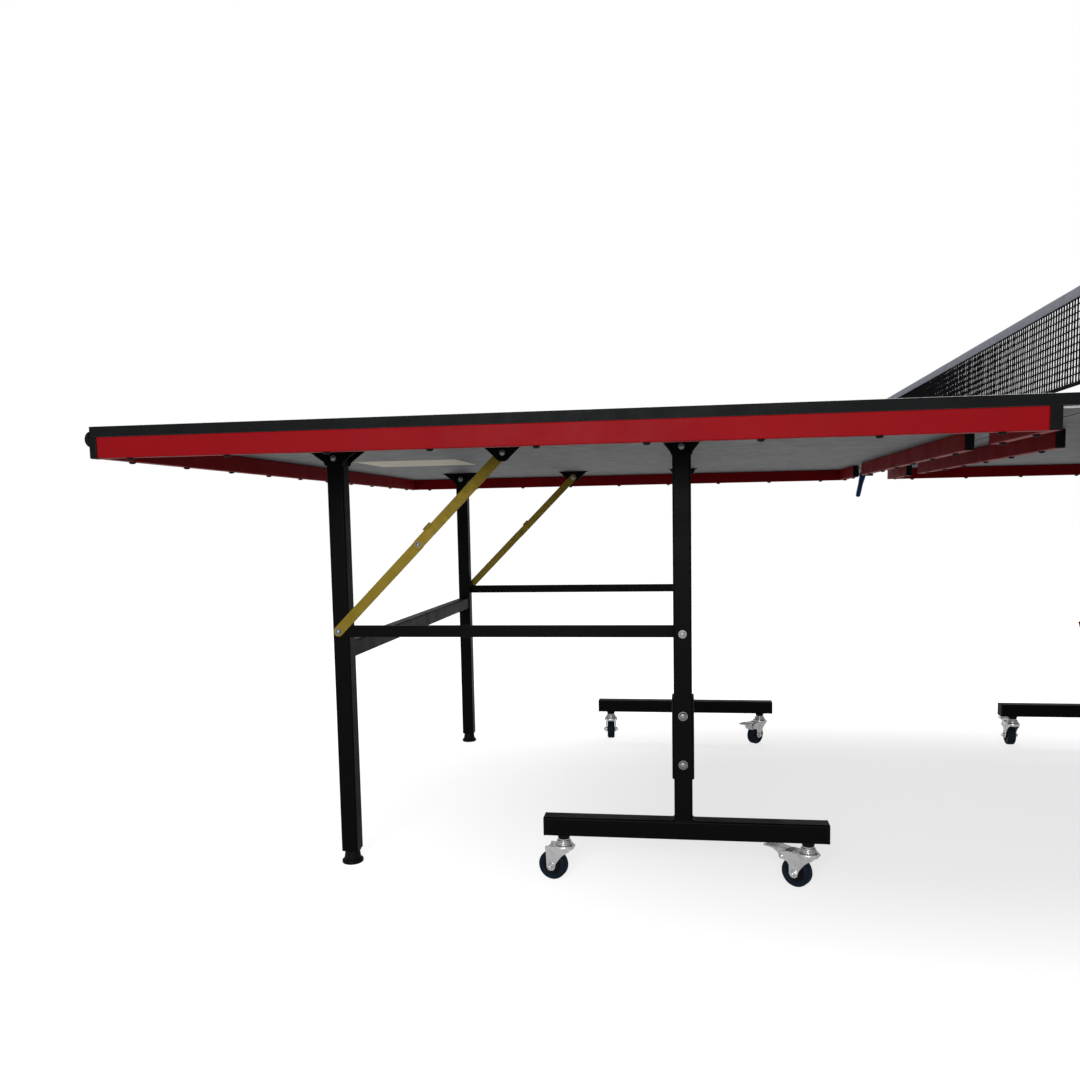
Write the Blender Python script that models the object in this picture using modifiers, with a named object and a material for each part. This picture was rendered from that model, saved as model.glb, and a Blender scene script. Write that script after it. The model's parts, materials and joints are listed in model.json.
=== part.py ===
"""Roll-away ping pong table: two folding halves on wheeled carriages, and a clamped net.

Metres, +Z up. X runs along the table with the net line at X = 0, Y runs across it,
and the floor is Z = 0. The left half lies at -X; the right half is its mirror image.
"""
import math

import bmesh
import bpy
from mathutils import Matrix, Vector

# ---- driving dimensions ---------------------------------------------------------------
TABLE_LENGTH = 2.740
TABLE_WIDTH = 1.525
TABLE_HEIGHT = 0.760
PANEL_THICKNESS = 0.015
PANEL_GAP = 0.003            # between the two halves at the net line
GAP = 0.0003                 # between parts that touch
LEG_TUBE = 0.030             # square tube of legs, stems and base bars
WALL = 0.0015

RAIL_WIDTH = 0.015
RAIL_HEIGHT = 0.030
RAIL_INSET = 0.001           # rail's outer face behind the panel's edge
RAIL_NET_SETBACK = 0.061     # rails stop this far from the net line
CROSS_RAIL_HALF = 0.423      # half length of the middle cross rail
STUB_START = 0.540           # |Y| where the short cross rails start

WHEEL_LEG_X = 0.528
END_LEG_X = 1.127
BRACE_X = 0.825
PIVOT_Z = 0.728              # leg and brace pivots under the panel
LINK_Z = 0.426               # lower pivots of the folding linkage
WHEEL_LEG_Y = 0.484
END_LEG_Y = 0.441
LEG_ROUND = 0.003
LEG_TOP_RISE = 0.006         # leg top above its pivot

LINK_Y = (0.4565, 0.4645)
LOWER_BRACE_Y = (0.4652, 0.4682)
UPPER_BRACE_Y = (0.4690, 0.4720)
LINK_HEIGHT = 0.020
BRACE_HEIGHT = 0.018
BOLT = 0.0080
BOLT_HOLE = 0.0092

END_LEG_BAR_Z = 0.390
SLEEVE = 0.036
SLEEVE_Z = (0.185, 0.322)
SLEEVE_SEAT_Z = 0.250        # the stem goes up to here, the leg tube comes down to here
CROSS_TUBE = 0.025
CROSS_TUBE_Z = 0.2095
BASE_BAR_HALF = 0.233
BASE_BAR_Z = (0.081, 0.1155)
FOOT_HEIGHT = 0.024
FOOT_RADIUS = (0.019, 0.0125)

CASTER_OFFSET = 0.203        # caster stems from the wheel leg, along X
CASTER_TRAIL = 0.020
WHEEL_RADIUS = 0.025
WHEEL_WIDTH = 0.020
AXLE = 0.006
STEM = 0.010
CROWN_Z = (0.0530, 0.0730)
FORK_INSIDE = 0.011
FORK_PLATE = 0.002
PEDAL_PIVOT = (0.042, 0.049)  # along the trail and up
PEDAL_PIN = 0.004

NET_TOP_Z = TABLE_HEIGHT + 0.1525
NET_BOTTOM_Z = TABLE_HEIGHT + 0.020
NET_THICKNESS = 0.004
POST_Y = 0.915
POST_RADIUS = 0.008
CLAMP_HALF_X = 0.022
LEVER_PIVOT = (0.012, 0.742, PIVOT_Z)  # from the net line, across, up
LEVER_LENGTH = 0.066
LEVER_LEAN = math.radians(12)

HOLDER_WIDTH = (0.078, 0.115)  # at the bottom and at the top
HOLDER_Z = (0.258, 0.332)

CURVE_STEPS = 12             # sides of small round things
HOLE_STEPS = 8               # sides of bolt holes, pins and nuts
WHEEL_STEPS = 16             # a flat of the tread lies on the floor at rest

# where each caster trails at rest: degrees about +Z from +X
CASTER_ANGLES = {
    ("left", "near", "outer"): 165.0,
    ("left", "near", "inner"): 145.0,
    ("left", "far", "outer"): 95.0,
    ("left", "far", "inner"): 230.0,
    ("right", "near", "outer"): 20.0,
    ("right", "near", "inner"): 215.0,
    ("right", "far", "outer"): 330.0,
    ("right", "far", "inner"): 88.0,
}

PANEL_BOTTOM = TABLE_HEIGHT - PANEL_THICKNESS
RAIL_TOP = PANEL_BOTTOM - GAP
RAIL_BOTTOM = RAIL_TOP - RAIL_HEIGHT
HALF_LENGTH = TABLE_LENGTH / 2
HALF_WIDTH = TABLE_WIDTH / 2
RAIL_END_X = HALF_LENGTH - RAIL_INSET
RAIL_OUT_Y = HALF_WIDTH - RAIL_INSET

MIRROR = {"left": -1, "right": 1}   # X direction of each half
ACROSS = {"near": -1, "far": 1}     # Y direction of each side


# ---- scene and materials --------------------------------------------------------------
def clear_scene():
    for obj in list(bpy.data.objects):
        bpy.data.objects.remove(obj, do_unlink=True)


def new_collection(name):
    collection = bpy.data.collections.new(name)
    bpy.context.scene.collection.children.link(collection)
    return collection


def new_material(name, color, roughness, metallic):
    material = bpy.data.materials.new(name)
    material.use_nodes = True
    shader = material.node_tree.nodes["Principled BSDF"]
    shader.inputs["Base Color"].default_value = (*color, 1.0)
    shader.inputs["Roughness"].default_value = roughness
    shader.inputs["Metallic"].default_value = metallic
    material.diffuse_color = (*color, 1.0)
    return material


clear_scene()
PARTS = new_collection("ping_pong_table")
CUTTERS = new_collection("cutters")
MATERIALS = {
    "board": new_material("board", (0.045, 0.050, 0.052), 0.60, 0.0),
    "red_paint": new_material("red_paint", (0.330, 0.012, 0.014), 0.35, 0.0),
    "black_paint": new_material("black_paint", (0.010, 0.010, 0.011), 0.40, 0.0),
    "zinc": new_material("zinc", (0.430, 0.430, 0.430), 0.35, 1.0),
    "brass_plate": new_material("brass_plate", (0.260, 0.180, 0.045), 0.40, 1.0),
    "tyre": new_material("tyre", (0.008, 0.012, 0.018), 0.60, 0.0),
    "blue_grip": new_material("blue_grip", (0.020, 0.060, 0.170), 0.50, 0.0),
    "netting": new_material("netting", (0.012, 0.012, 0.013), 0.85, 0.0),
}


# ---- solids ---------------------------------------------------------------------------
def object_from(name, mesh_data, collection):
    obj = bpy.data.objects.new(name, mesh_data)
    collection.objects.link(obj)
    return obj


def cutter(obj):
    obj.hide_render = True
    obj.display_type = "WIRE"
    return obj


def box(low, high):
    """Cutter or blank: a box between two corners, in world coordinates."""
    low, high = Vector(low), Vector(high)
    low, high = (Vector(map(min, low, high)), Vector(map(max, low, high)))
    shape = bmesh.new()
    bmesh.ops.create_cube(shape, size=1.0)
    bmesh.ops.scale(shape, vec=high - low, verts=shape.verts)
    bmesh.ops.translate(shape, vec=(low + high) / 2, verts=shape.verts)
    data = bpy.data.meshes.new("blank")
    shape.to_mesh(data)
    shape.free()
    return cutter(object_from("blank", data, CUTTERS))


def rod(start, end, radius, end_radius=None, steps=CURVE_STEPS):
    """Blank: a cylinder or cone between two points."""
    start, end = Vector(start), Vector(end)
    span = end - start
    shape = bmesh.new()
    bmesh.ops.create_cone(
        shape, cap_ends=True, segments=steps, radius1=radius,
        radius2=radius if end_radius is None else end_radius, depth=span.length,
    )
    turn = Vector((0, 0, 1)).rotation_difference(span).to_matrix().to_4x4()
    place = Matrix.Translation((start + end) / 2) @ turn
    bmesh.ops.transform(shape, matrix=place, verts=shape.verts)
    data = bpy.data.meshes.new("blank")
    shape.to_mesh(data)
    shape.free()
    return cutter(object_from("blank", data, CUTTERS))


def turned(profile, steps, ring=False):
    """Blank turned about Z from (radius, height) points, top to bottom on the outside.

    A ring's profile is closed; any other profile starts and ends on the axis.
    """
    data = bpy.data.meshes.new("turned")
    shape = bmesh.new()
    verts = [shape.verts.new((radius, 0.0, height)) for radius, height in profile]
    for first, second in zip(verts, verts[1:] + (verts[:1] if ring else [])):
        shape.edges.new((first, second))
    shape.to_mesh(data)
    shape.free()
    blank = object_from("turned", data, CUTTERS)
    screw = blank.modifiers.new("screw", "SCREW")
    screw.angle = math.radians(360)
    screw.steps = steps
    screw.render_steps = steps
    screw.use_merge_vertices = True
    screw.merge_threshold = 0.00001
    data = evaluated_mesh(blank)
    blank.modifiers.clear()
    blank.data = data
    return cutter(blank)


def evaluated_mesh(obj):
    graph = bpy.context.evaluated_depsgraph_get()
    return bpy.data.meshes.new_from_object(obj.evaluated_get(graph))


def plate(outline, thickness, place):
    """Blank: a flat outline extruded by a thickness and put in place by a matrix.

    The outline lies in the matrix's XY plane, the thickness is centred on it.
    """
    curve = bpy.data.curves.new("outline", "CURVE")
    curve.dimensions = "2D"
    curve.fill_mode = "BOTH"
    curve.extrude = thickness / 2
    spline = curve.splines.new("POLY")
    spline.points.add(len(outline) - 1)
    for point, (u, v) in zip(spline.points, outline):
        point.co = (u, v, 0.0, 1.0)
    spline.use_cyclic_u = True
    holder = object_from("outline", curve, CUTTERS)
    data = evaluated_mesh(holder)
    bpy.data.objects.remove(holder, do_unlink=True)
    shape = bmesh.new()
    shape.from_mesh(data)
    bmesh.ops.remove_doubles(shape, verts=shape.verts, dist=0.00002)
    bmesh.ops.recalc_face_normals(shape, faces=shape.faces)
    bmesh.ops.transform(shape, matrix=place, verts=shape.verts)
    if place.to_3x3().determinant() < 0:
        bmesh.ops.reverse_faces(shape, faces=shape.faces)
    shape.to_mesh(data)
    shape.free()
    return cutter(object_from("plate", data, CUTTERS))


def arc(centre, radius, start, end, steps):
    """Points on an arc, angles in degrees."""
    points = []
    for step in range(steps + 1):
        angle = math.radians(start + (end - start) * step / steps)
        points.append((centre[0] + radius * math.cos(angle), centre[1] + radius * math.sin(angle)))
    return points


def moved(blank, place):
    blank.data.transform(place)
    return blank


def rounded_rectangle(width, height, radius, steps=2):
    points = []
    for sign_u, sign_v, start in ((1, 1, 0), (-1, 1, 90), (-1, -1, 180), (1, -1, 270)):
        centre = (sign_u * (width / 2 - radius), sign_v * (height / 2 - radius))
        points += arc(centre, radius, start, start + 90, steps)
    return points


def bar(start, end, width, height, radius=LEG_ROUND, across=(0, 1, 0)):
    """Blank: a rounded rectangular bar from start to end; width lies along `across`."""
    start, end, across = Vector(start), Vector(end), Vector(across)
    along = (end - start).normalized()
    up = along.cross(across).normalized()
    turn = Matrix((across, up, across.cross(up))).transposed().to_4x4()
    place = Matrix.Translation((start + end) / 2) @ turn
    return plate(rounded_rectangle(width, height, radius), (end - start).length, place)


def capsule(length, width, steps=3):
    """Outline of a bar with round ends whose end centres are `length` apart."""
    ends = arc((length / 2, 0), width / 2, -90, 90, steps)
    return ends + arc((-length / 2, 0), width / 2, 90, 270, steps)


def flat_bar(first, second, width, y_range):
    """Blank: a flat bar with round ends between two pivots given as (X, Z)."""
    (x1, z1), (x2, z2) = first, second
    angle = math.atan2(z2 - z1, x2 - x1)
    middle = Vector(((x1 + x2) / 2, (y_range[0] + y_range[1]) / 2, (z1 + z2) / 2))
    stand_up = Matrix.Rotation(math.radians(90), 4, "X")
    place = Matrix.Translation(middle) @ Matrix.Rotation(-angle, 4, "Y") @ stand_up
    length = math.hypot(x2 - x1, z2 - z1)
    return plate(capsule(length, width), abs(y_range[1] - y_range[0]), place)


def soften(blank, radius):
    """Chamfer the sharp edges of a blank."""
    shape = bmesh.new()
    shape.from_mesh(blank.data)
    bmesh.ops.dissolve_limit(shape, angle_limit=math.radians(1), verts=shape.verts, edges=shape.edges)
    sharp = [edge for edge in shape.edges if edge.calc_face_angle(0.0) > math.radians(30)]
    bmesh.ops.bevel(shape, geom=sharp, offset=radius, segments=1, affect="EDGES",
                    clamp_overlap=True)
    shape.to_mesh(blank.data)
    shape.free()
    return blank


def boolean(base, tools, operation):
    """Join or cut with the exact solver and bake the result into the base's mesh."""
    for tool in tools:
        modifier = base.modifiers.new("boolean", "BOOLEAN")
        modifier.operation = operation
        modifier.object = tool
        data = evaluated_mesh(base)
        base.modifiers.clear()
        base.data = data
        bpy.data.objects.remove(tool, do_unlink=True)
    return base


def join(base, *others):
    return boolean(base, others, "UNION")


def cut(base, *tools):
    return boolean(base, tools, "DIFFERENCE")


def finish(name, blank, material, pivot=(0, 0, 0)):
    """Name a blank, give it its material and move its origin to its pivot."""
    shape = bmesh.new()
    shape.from_mesh(blank.data)
    bmesh.ops.remove_doubles(shape, verts=shape.verts, dist=0.00001)
    bmesh.ops.dissolve_degenerate(shape, edges=shape.edges, dist=0.00001)
    bmesh.ops.translate(shape, vec=-Vector(pivot), verts=shape.verts)
    data = bpy.data.meshes.new(name)
    shape.to_mesh(data)
    shape.free()
    data.materials.append(MATERIALS[material])
    data.shade_smooth()
    data.set_sharp_from_angle(angle=math.radians(35))
    obj = object_from(name, data, PARTS)
    obj.location = pivot
    bpy.data.objects.remove(blank, do_unlink=True)
    return obj


def pivot_at(half, x_value, z_value):
    return (MIRROR[half] * x_value, 0.0, z_value)


# ---- table top ------------------------------------------------------------------------
def make_panel(half):
    side = MIRROR[half]
    centre_x = side * (HALF_LENGTH + PANEL_GAP / 2) / 2
    length = HALF_LENGTH - PANEL_GAP / 2
    outline = rounded_rectangle(length, TABLE_WIDTH, 0.004)
    place = Matrix.Translation((centre_x, 0, TABLE_HEIGHT - PANEL_THICKNESS / 2))
    finish(f"{half}_panel", plate(outline, PANEL_THICKNESS, place), "board",
           pivot_at(half, WHEEL_LEG_X, PIVOT_Z))


def frame_outline(side):
    """Plan view of the apron frame: a C whose arms turn inward short of the net line."""
    in_y = RAIL_OUT_Y - RAIL_WIDTH
    in_x = RAIL_END_X - RAIL_WIDTH
    stub_in, stub_out = RAIL_NET_SETBACK + RAIL_WIDTH, RAIL_NET_SETBACK
    arm = [(RAIL_END_X, RAIL_OUT_Y), (stub_out, RAIL_OUT_Y)]
    arm += [(stub_out, STUB_START), (stub_in, STUB_START), (stub_in, in_y), (in_x, in_y)]
    mirrored = [(x_value, -y_value) for x_value, y_value in reversed(arm)]
    return [(side * x_value, y_value) for x_value, y_value in arm + mirrored]


def make_apron_frame(half):
    """Welded frame: two long rails, the end rail and two short net-side rails."""
    side = MIRROR[half]
    z_mid = (RAIL_TOP + RAIL_BOTTOM) / 2
    rail_y = RAIL_OUT_Y - RAIL_WIDTH / 2
    end_x = RAIL_END_X - RAIL_WIDTH / 2
    stub_x = RAIL_NET_SETBACK + RAIL_WIDTH / 2
    frame = plate(frame_outline(side), RAIL_HEIGHT, Matrix.Translation((0, 0, z_mid)))
    frame = soften(frame, 0.0012)
    hollow = [((end_x, -rail_y), (end_x, rail_y))]
    for across in ACROSS.values():
        y_value = across * rail_y
        hollow.append(((end_x, y_value), (RAIL_NET_SETBACK - 0.01, y_value)))
        hollow.append(((stub_x, across * (STUB_START - 0.01)), (stub_x, y_value)))
    inner = RAIL_WIDTH / 2 - WALL
    cuts = []
    for (x1, y1), (x2, y2) in hollow:
        low = (min(side * x1, side * x2) - inner, min(y1, y2) - inner, RAIL_BOTTOM + WALL)
        high = (max(side * x1, side * x2) + inner, max(y1, y2) + inner, RAIL_TOP - WALL)
        cuts.append(box(low, high))
    frame = cut(frame, *cuts)
    if half == "left":
        frame = join(frame, *clamp_lever_mounts())
    finish(f"{half}_apron_frame", frame, "red_paint", pivot_at(half, WHEEL_LEG_X, PIVOT_Z))


def clamp_lever_mounts():
    """Straps at the left rails' net ends, with an ear and a pin for each clamp lever."""
    mounts = []
    lever_x, lever_y, lever_z = LEVER_PIVOT
    ear_y = (0.7505, 0.7535)
    for across in ACROSS.values():
        strap = box((-RAIL_NET_SETBACK - 0.004, across * 0.7490, RAIL_TOP - 0.0023),
                    (-0.004, across * 0.7590, RAIL_TOP - 0.0003))
        ear = box((-lever_x - 0.008, across * ear_y[0], lever_z - 0.008),
                  (-lever_x + 0.007, across * ear_y[1], RAIL_TOP - 0.0011))
        pin = rod((-lever_x, across * (lever_y - 0.0085), lever_z),
                  (-lever_x, across * (ear_y[0] + 0.0012), lever_z), 0.0025, steps=HOLE_STEPS)
        mounts.append(join(strap, ear, pin))
    return mounts


def make_net_rail(half):
    side = MIRROR[half]
    x_value = side * (RAIL_NET_SETBACK + RAIL_WIDTH / 2)
    z_mid = (RAIL_TOP + RAIL_BOTTOM) / 2
    start, end = (x_value, -CROSS_RAIL_HALF, z_mid), (x_value, CROSS_RAIL_HALF, z_mid)
    rail = bar(start, end, RAIL_WIDTH, RAIL_HEIGHT, 0.002, across=(1, 0, 0))
    inner = RAIL_WIDTH / 2 - WALL
    rail = cut(rail, box((x_value - inner, -0.5, RAIL_BOTTOM + WALL),
                         (x_value + inner, 0.5, RAIL_TOP - WALL)))
    finish(f"{half}_net_rail", rail, "red_paint", pivot_at(half, WHEEL_LEG_X, PIVOT_Z))


def make_leg_bracket(half, side_name, kind):
    """Two cheeks, a bridge under the panel and the pivot pin of one leg."""
    side, across = MIRROR[half], ACROSS[side_name]
    x_value, y_value, half_top = {
        "wheel_leg": (WHEEL_LEG_X, WHEEL_LEG_Y, 0.033),
        "end_leg": (END_LEG_X, END_LEG_Y, 0.045),
    }[kind]
    cheek_gap, cheek = LEG_TUBE / 2 + 0.0008, 0.0025
    bottom_z, rise = PIVOT_Z - 0.013, RAIL_TOP - PIVOT_Z
    outline = [(-half_top, rise), (-half_top, rise - 0.004), (-0.017, bottom_z - PIVOT_Z + 0.004)]
    outline += [(-0.012, bottom_z - PIVOT_Z), (0.012, bottom_z - PIVOT_Z)]
    outline += [(0.017, bottom_z - PIVOT_Z + 0.004), (half_top, rise - 0.004), (half_top, rise)]
    pieces = []
    for direction in (-1, 1):
        centre = (side * x_value, across * y_value + direction * (cheek_gap + cheek / 2), PIVOT_Z)
        place = Matrix.Translation(centre) @ Matrix.Rotation(math.radians(90), 4, "X")
        pieces.append(plate(outline, cheek, place))
    reach = cheek_gap + cheek / 2
    pieces.append(box((side * (x_value + 0.0180), across * y_value - reach, RAIL_TOP - 0.0025),
                      (side * (x_value + half_top), across * y_value + reach, RAIL_TOP)))
    pieces.append(rod((side * x_value, across * y_value - cheek_gap - 0.001, PIVOT_Z),
                      (side * x_value, across * y_value + cheek_gap + 0.001, PIVOT_Z), BOLT / 2,
                      steps=HOLE_STEPS))
    finish(f"{half}_{side_name}_{kind}_bracket", join(*pieces), "black_paint",
           (side * x_value, across * y_value, PIVOT_Z))


# ---- legs and carriage ----------------------------------------------------------------
def cross_hole(x_value, y_value, z_value, diameter=BOLT_HOLE, reach=0.03):
    return rod((x_value, y_value - reach, z_value), (x_value, y_value + reach, z_value),
               diameter / 2, steps=HOLE_STEPS)


def make_end_leg_frame(half):
    """Player-end legs with the bar welded between them and their feet."""
    side = MIRROR[half]
    x_value = side * END_LEG_X
    top = PIVOT_Z + LEG_TOP_RISE
    inner = LEG_TUBE / 2 - WALL
    solids, hollows = [], []
    for across in ACROSS.values():
        y_value = across * END_LEG_Y
        solids.append(bar((x_value, y_value, FOOT_HEIGHT), (x_value, y_value, top),
                          LEG_TUBE, LEG_TUBE))
        hollows.append(box((x_value - inner, y_value - inner, FOOT_HEIGHT + 0.003),
                           (x_value + inner, y_value + inner, top + 0.01)))
        hollows.append(cross_hole(x_value, y_value, PIVOT_Z))
    solids.append(bar((x_value, -END_LEG_Y, END_LEG_BAR_Z), (x_value, END_LEG_Y, END_LEG_BAR_Z),
                      CROSS_TUBE, LEG_TUBE, across=(1, 0, 0)))
    bar_x, bar_z = CROSS_TUBE / 2 - WALL, LEG_TUBE / 2 - WALL
    hollows.append(box((x_value - bar_x, -END_LEG_Y, END_LEG_BAR_Z - bar_z),
                       (x_value + bar_x, END_LEG_Y, END_LEG_BAR_Z + bar_z)))
    frame = cut(join(*solids), *hollows)
    for across in ACROSS.values():
        y_value = across * END_LEG_Y
        foot = turned([(0, FOOT_HEIGHT + 0.001), (FOOT_RADIUS[1], FOOT_HEIGHT + 0.001),
                       (FOOT_RADIUS[0], 0.005), (FOOT_RADIUS[0] - 0.002, 0), (0, 0)], CURVE_STEPS)
        frame = join(frame, moved(foot, Matrix.Translation((x_value, y_value, 0))))
    finish(f"{half}_end_leg_frame", frame, "black_paint", (x_value, 0, PIVOT_Z))


def make_carriage_frame(half):
    """Wheel-side legs, their sleeves, the tube between them and the link bars' pins."""
    side = MIRROR[half]
    x_value = side * WHEEL_LEG_X
    top = PIVOT_Z + LEG_TOP_RISE
    inner, sleeve_inner = LEG_TUBE / 2 - WALL, LEG_TUBE / 2 + 0.0004
    solids, hollows, pins = [], [], []
    for across in ACROSS.values():
        y_value = across * WHEEL_LEG_Y
        solids.append(bar((x_value, y_value, SLEEVE_SEAT_Z), (x_value, y_value, top),
                          LEG_TUBE, LEG_TUBE))
        solids.append(bar((x_value, y_value, SLEEVE_Z[0]), (x_value, y_value, SLEEVE_Z[1]),
                          SLEEVE, SLEEVE))
        hollows.append(box((x_value - inner, y_value - inner, SLEEVE_Z[0] - 0.01),
                           (x_value + inner, y_value + inner, top + 0.01)))
        hollows.append(box((x_value - sleeve_inner, y_value - sleeve_inner, SLEEVE_Z[0] - 0.01),
                           (x_value + sleeve_inner, y_value + sleeve_inner, SLEEVE_SEAT_Z)))
        hollows.append(cross_hole(x_value, y_value, PIVOT_Z))
        pins.append(rod((x_value, across * (LINK_Y[0] - 0.001), LINK_Z),
                        (x_value, across * (WHEEL_LEG_Y - inner), LINK_Z), BOLT / 2,
                        steps=HOLE_STEPS))
    solids.append(bar((x_value, -WHEEL_LEG_Y, CROSS_TUBE_Z), (x_value, WHEEL_LEG_Y, CROSS_TUBE_Z),
                      CROSS_TUBE, CROSS_TUBE, across=(1, 0, 0)))
    tube = CROSS_TUBE / 2 - WALL
    hollows.append(box((x_value - tube, -WHEEL_LEG_Y, CROSS_TUBE_Z - tube),
                       (x_value + tube, WHEEL_LEG_Y, CROSS_TUBE_Z + tube)))
    frame = join(cut(join(*solids), *hollows), *pins)
    finish(f"{half}_carriage_frame", frame, "black_paint")


def make_base_tee(half, side_name):
    """Stem and base bar, with the nuts that take the casters' stems."""
    side, across = MIRROR[half], ACROSS[side_name]
    x_value, y_value = side * WHEEL_LEG_X, across * WHEEL_LEG_Y
    low, high = BASE_BAR_Z
    z_mid = (low + high) / 2
    start, end = (x_value - BASE_BAR_HALF, y_value, z_mid), (x_value + BASE_BAR_HALF, y_value, z_mid)
    inner = LEG_TUBE / 2 - WALL
    stem_top = SLEEVE_SEAT_Z - 0.002
    tee = join(bar(start, end, LEG_TUBE, high - low),
               bar((x_value, y_value, z_mid), (x_value, y_value, stem_top), LEG_TUBE, LEG_TUBE))
    tee = cut(tee,
              box((x_value - 0.3, y_value - inner, low + WALL),
                  (x_value + 0.3, y_value + inner, high - WALL)),
              box((x_value - inner, y_value - inner, z_mid),
                  (x_value + inner, y_value + inner, stem_top + 0.01)))
    for offset in (-CASTER_OFFSET, CASTER_OFFSET):
        stem_x = x_value + offset
        nut = rod((stem_x, y_value, CROWN_Z[1] + GAP), (stem_x, y_value, low + 0.001),
                  0.0095, 0.0115, steps=HOLE_STEPS)
        bore = rod((stem_x, y_value, 0.070), (stem_x, y_value, low + 0.005), STEM / 2 + 0.0008,
                   steps=HOLE_STEPS)
        tee = cut(join(tee, nut), bore)
    finish(f"{half}_{side_name}_base_tee", tee, "black_paint")


# ---- folding linkage ------------------------------------------------------------------
def across_range(side_name, y_range):
    return tuple(sorted(ACROSS[side_name] * value for value in y_range))


def make_link_bar(half, side_name):
    side, across = MIRROR[half], ACROSS[side_name]
    y_range = across_range(side_name, LINK_Y)
    link = flat_bar((side * END_LEG_X, LINK_Z), (side * WHEEL_LEG_X, LINK_Z), LINK_HEIGHT, y_range)
    y_mid = sum(y_range) / 2
    link = cut(link, cross_hole(side * END_LEG_X, y_mid, LINK_Z),
               cross_hole(side * WHEEL_LEG_X, y_mid, LINK_Z))
    finish(f"{half}_{side_name}_link_bar", link, "black_paint",
           (side * WHEEL_LEG_X, across * WHEEL_LEG_Y, LINK_Z))


def make_braces(half, side_name):
    """Two flat bars, straight in line while the leg stands, from the panel to the leg."""
    side, across = MIRROR[half], ACROSS[side_name]
    top, low = (side * BRACE_X, PIVOT_Z), (side * END_LEG_X, LINK_Z)
    knee = ((top[0] + low[0]) / 2, (top[1] + low[1]) / 2)
    for name, first, second, y_pair in (("upper_brace", top, knee, UPPER_BRACE_Y),
                                        ("lower_brace", knee, low, LOWER_BRACE_Y)):
        y_range = across_range(side_name, y_pair)
        brace = flat_bar(first, second, BRACE_HEIGHT, y_range)
        y_mid = sum(y_range) / 2
        brace = cut(brace, cross_hole(first[0], y_mid, first[1]),
                    cross_hole(second[0], y_mid, second[1]))
        finish(f"{half}_{side_name}_{name}", brace, "brass_plate",
               (first[0], across * abs(y_mid), first[1]))


# ---- casters --------------------------------------------------------------------------
def wheel_profile():
    """Half section of a wheel; its polygon's flats, not its corners, are at the radius."""
    half, bore = WHEEL_WIDTH / 2, AXLE / 2 + 0.0005
    radius = WHEEL_RADIUS / math.cos(math.pi / WHEEL_STEPS)
    top = [(bore, half + 0.0005), (0.0110, half + 0.0005), (radius - 0.0030, half - 0.001),
           (radius, half - 0.004)]
    bottom = [(radius, -height) for radius, height in reversed(top)]
    return top + bottom


def caster_frame(half, side_name, end):
    """Matrix whose origin is under the caster's stem and whose +X is its trail."""
    offset = CASTER_OFFSET if end == "outer" else -CASTER_OFFSET
    x_value = MIRROR[half] * (WHEEL_LEG_X + offset)
    angle = math.radians(CASTER_ANGLES[(half, side_name, end)])
    place = Matrix.Translation((x_value, ACROSS[side_name] * WHEEL_LEG_Y, 0))
    return place @ Matrix.Rotation(angle, 4, "Z")


def fork_cheek_outline(has_brake):
    """Side view of a fork plate as (along the trail, up) points."""
    rear_top = PEDAL_PIVOT[0] + 0.005 if has_brake else 0.030
    points = [(-0.009, CROWN_Z[0] + 0.002), (-0.009, CROWN_Z[0] - 0.001), (0.004, 0.046)]
    points += arc((CASTER_TRAIL, WHEEL_RADIUS), 0.0068, 200, 350, 3)
    if has_brake:
        points += [(0.031, 0.040), (PEDAL_PIVOT[0], 0.0440), (rear_top, 0.0450)]
        points += [(rear_top, 0.0530), (rear_top - 0.004, CROWN_Z[0] + 0.002)]
    else:
        points += [(0.0285, 0.046), (rear_top, 0.0520), (rear_top, CROWN_Z[0] + 0.002)]
    return points


def make_caster(half, side_name, end):
    name = f"{half}_{side_name}_{end}"
    place = caster_frame(half, side_name, end)
    has_brake = end == "inner"
    stand_up = Matrix.Rotation(math.radians(90), 4, "X")
    low, high = CROWN_Z
    fork = turned([(0, high + 0.012), (STEM / 2, high + 0.012), (STEM / 2, high), (0.0135, high),
                   (0.0175, low + 0.0100), (0.0175, low), (0, low)], CURVE_STEPS)
    fork = join(fork, box((-0.009, -FORK_INSIDE - 0.001, low - 0.0010),
                          (0.030, FORK_INSIDE + 0.001, low + 0.0015)))
    for direction in (-1, 1):
        centre = Matrix.Translation((0, direction * (FORK_INSIDE + FORK_PLATE / 2), 0))
        fork = join(fork, plate(fork_cheek_outline(has_brake), FORK_PLATE, centre @ stand_up))
    fork = join(fork, rod((CASTER_TRAIL, -0.0145, WHEEL_RADIUS), (CASTER_TRAIL, 0.0145, WHEEL_RADIUS),
                          AXLE / 2, steps=HOLE_STEPS))
    if has_brake:
        pin_x, pin_z = PEDAL_PIVOT
        reach = FORK_INSIDE + FORK_PLATE / 2
        fork = join(fork, rod((pin_x, -reach, pin_z), (pin_x, reach, pin_z), PEDAL_PIN / 2,
                              steps=HOLE_STEPS))
    stem = place @ Vector((0, 0, high))
    finish(f"{name}_caster_fork", moved(fork, place), "zinc", stem)

    wheel = turned(wheel_profile(), WHEEL_STEPS, ring=True)
    wheel = moved(wheel, Matrix.Rotation(math.pi / WHEEL_STEPS, 4, "Z"))
    axle = Matrix.Translation((CASTER_TRAIL, 0, WHEEL_RADIUS)) @ stand_up
    finish(f"{name}_caster_wheel", moved(wheel, place @ axle), "tyre",
           place @ Vector((CASTER_TRAIL, 0, WHEEL_RADIUS)))
    if has_brake:
        make_pedal(f"{name}_brake_pedal", place)


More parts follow.
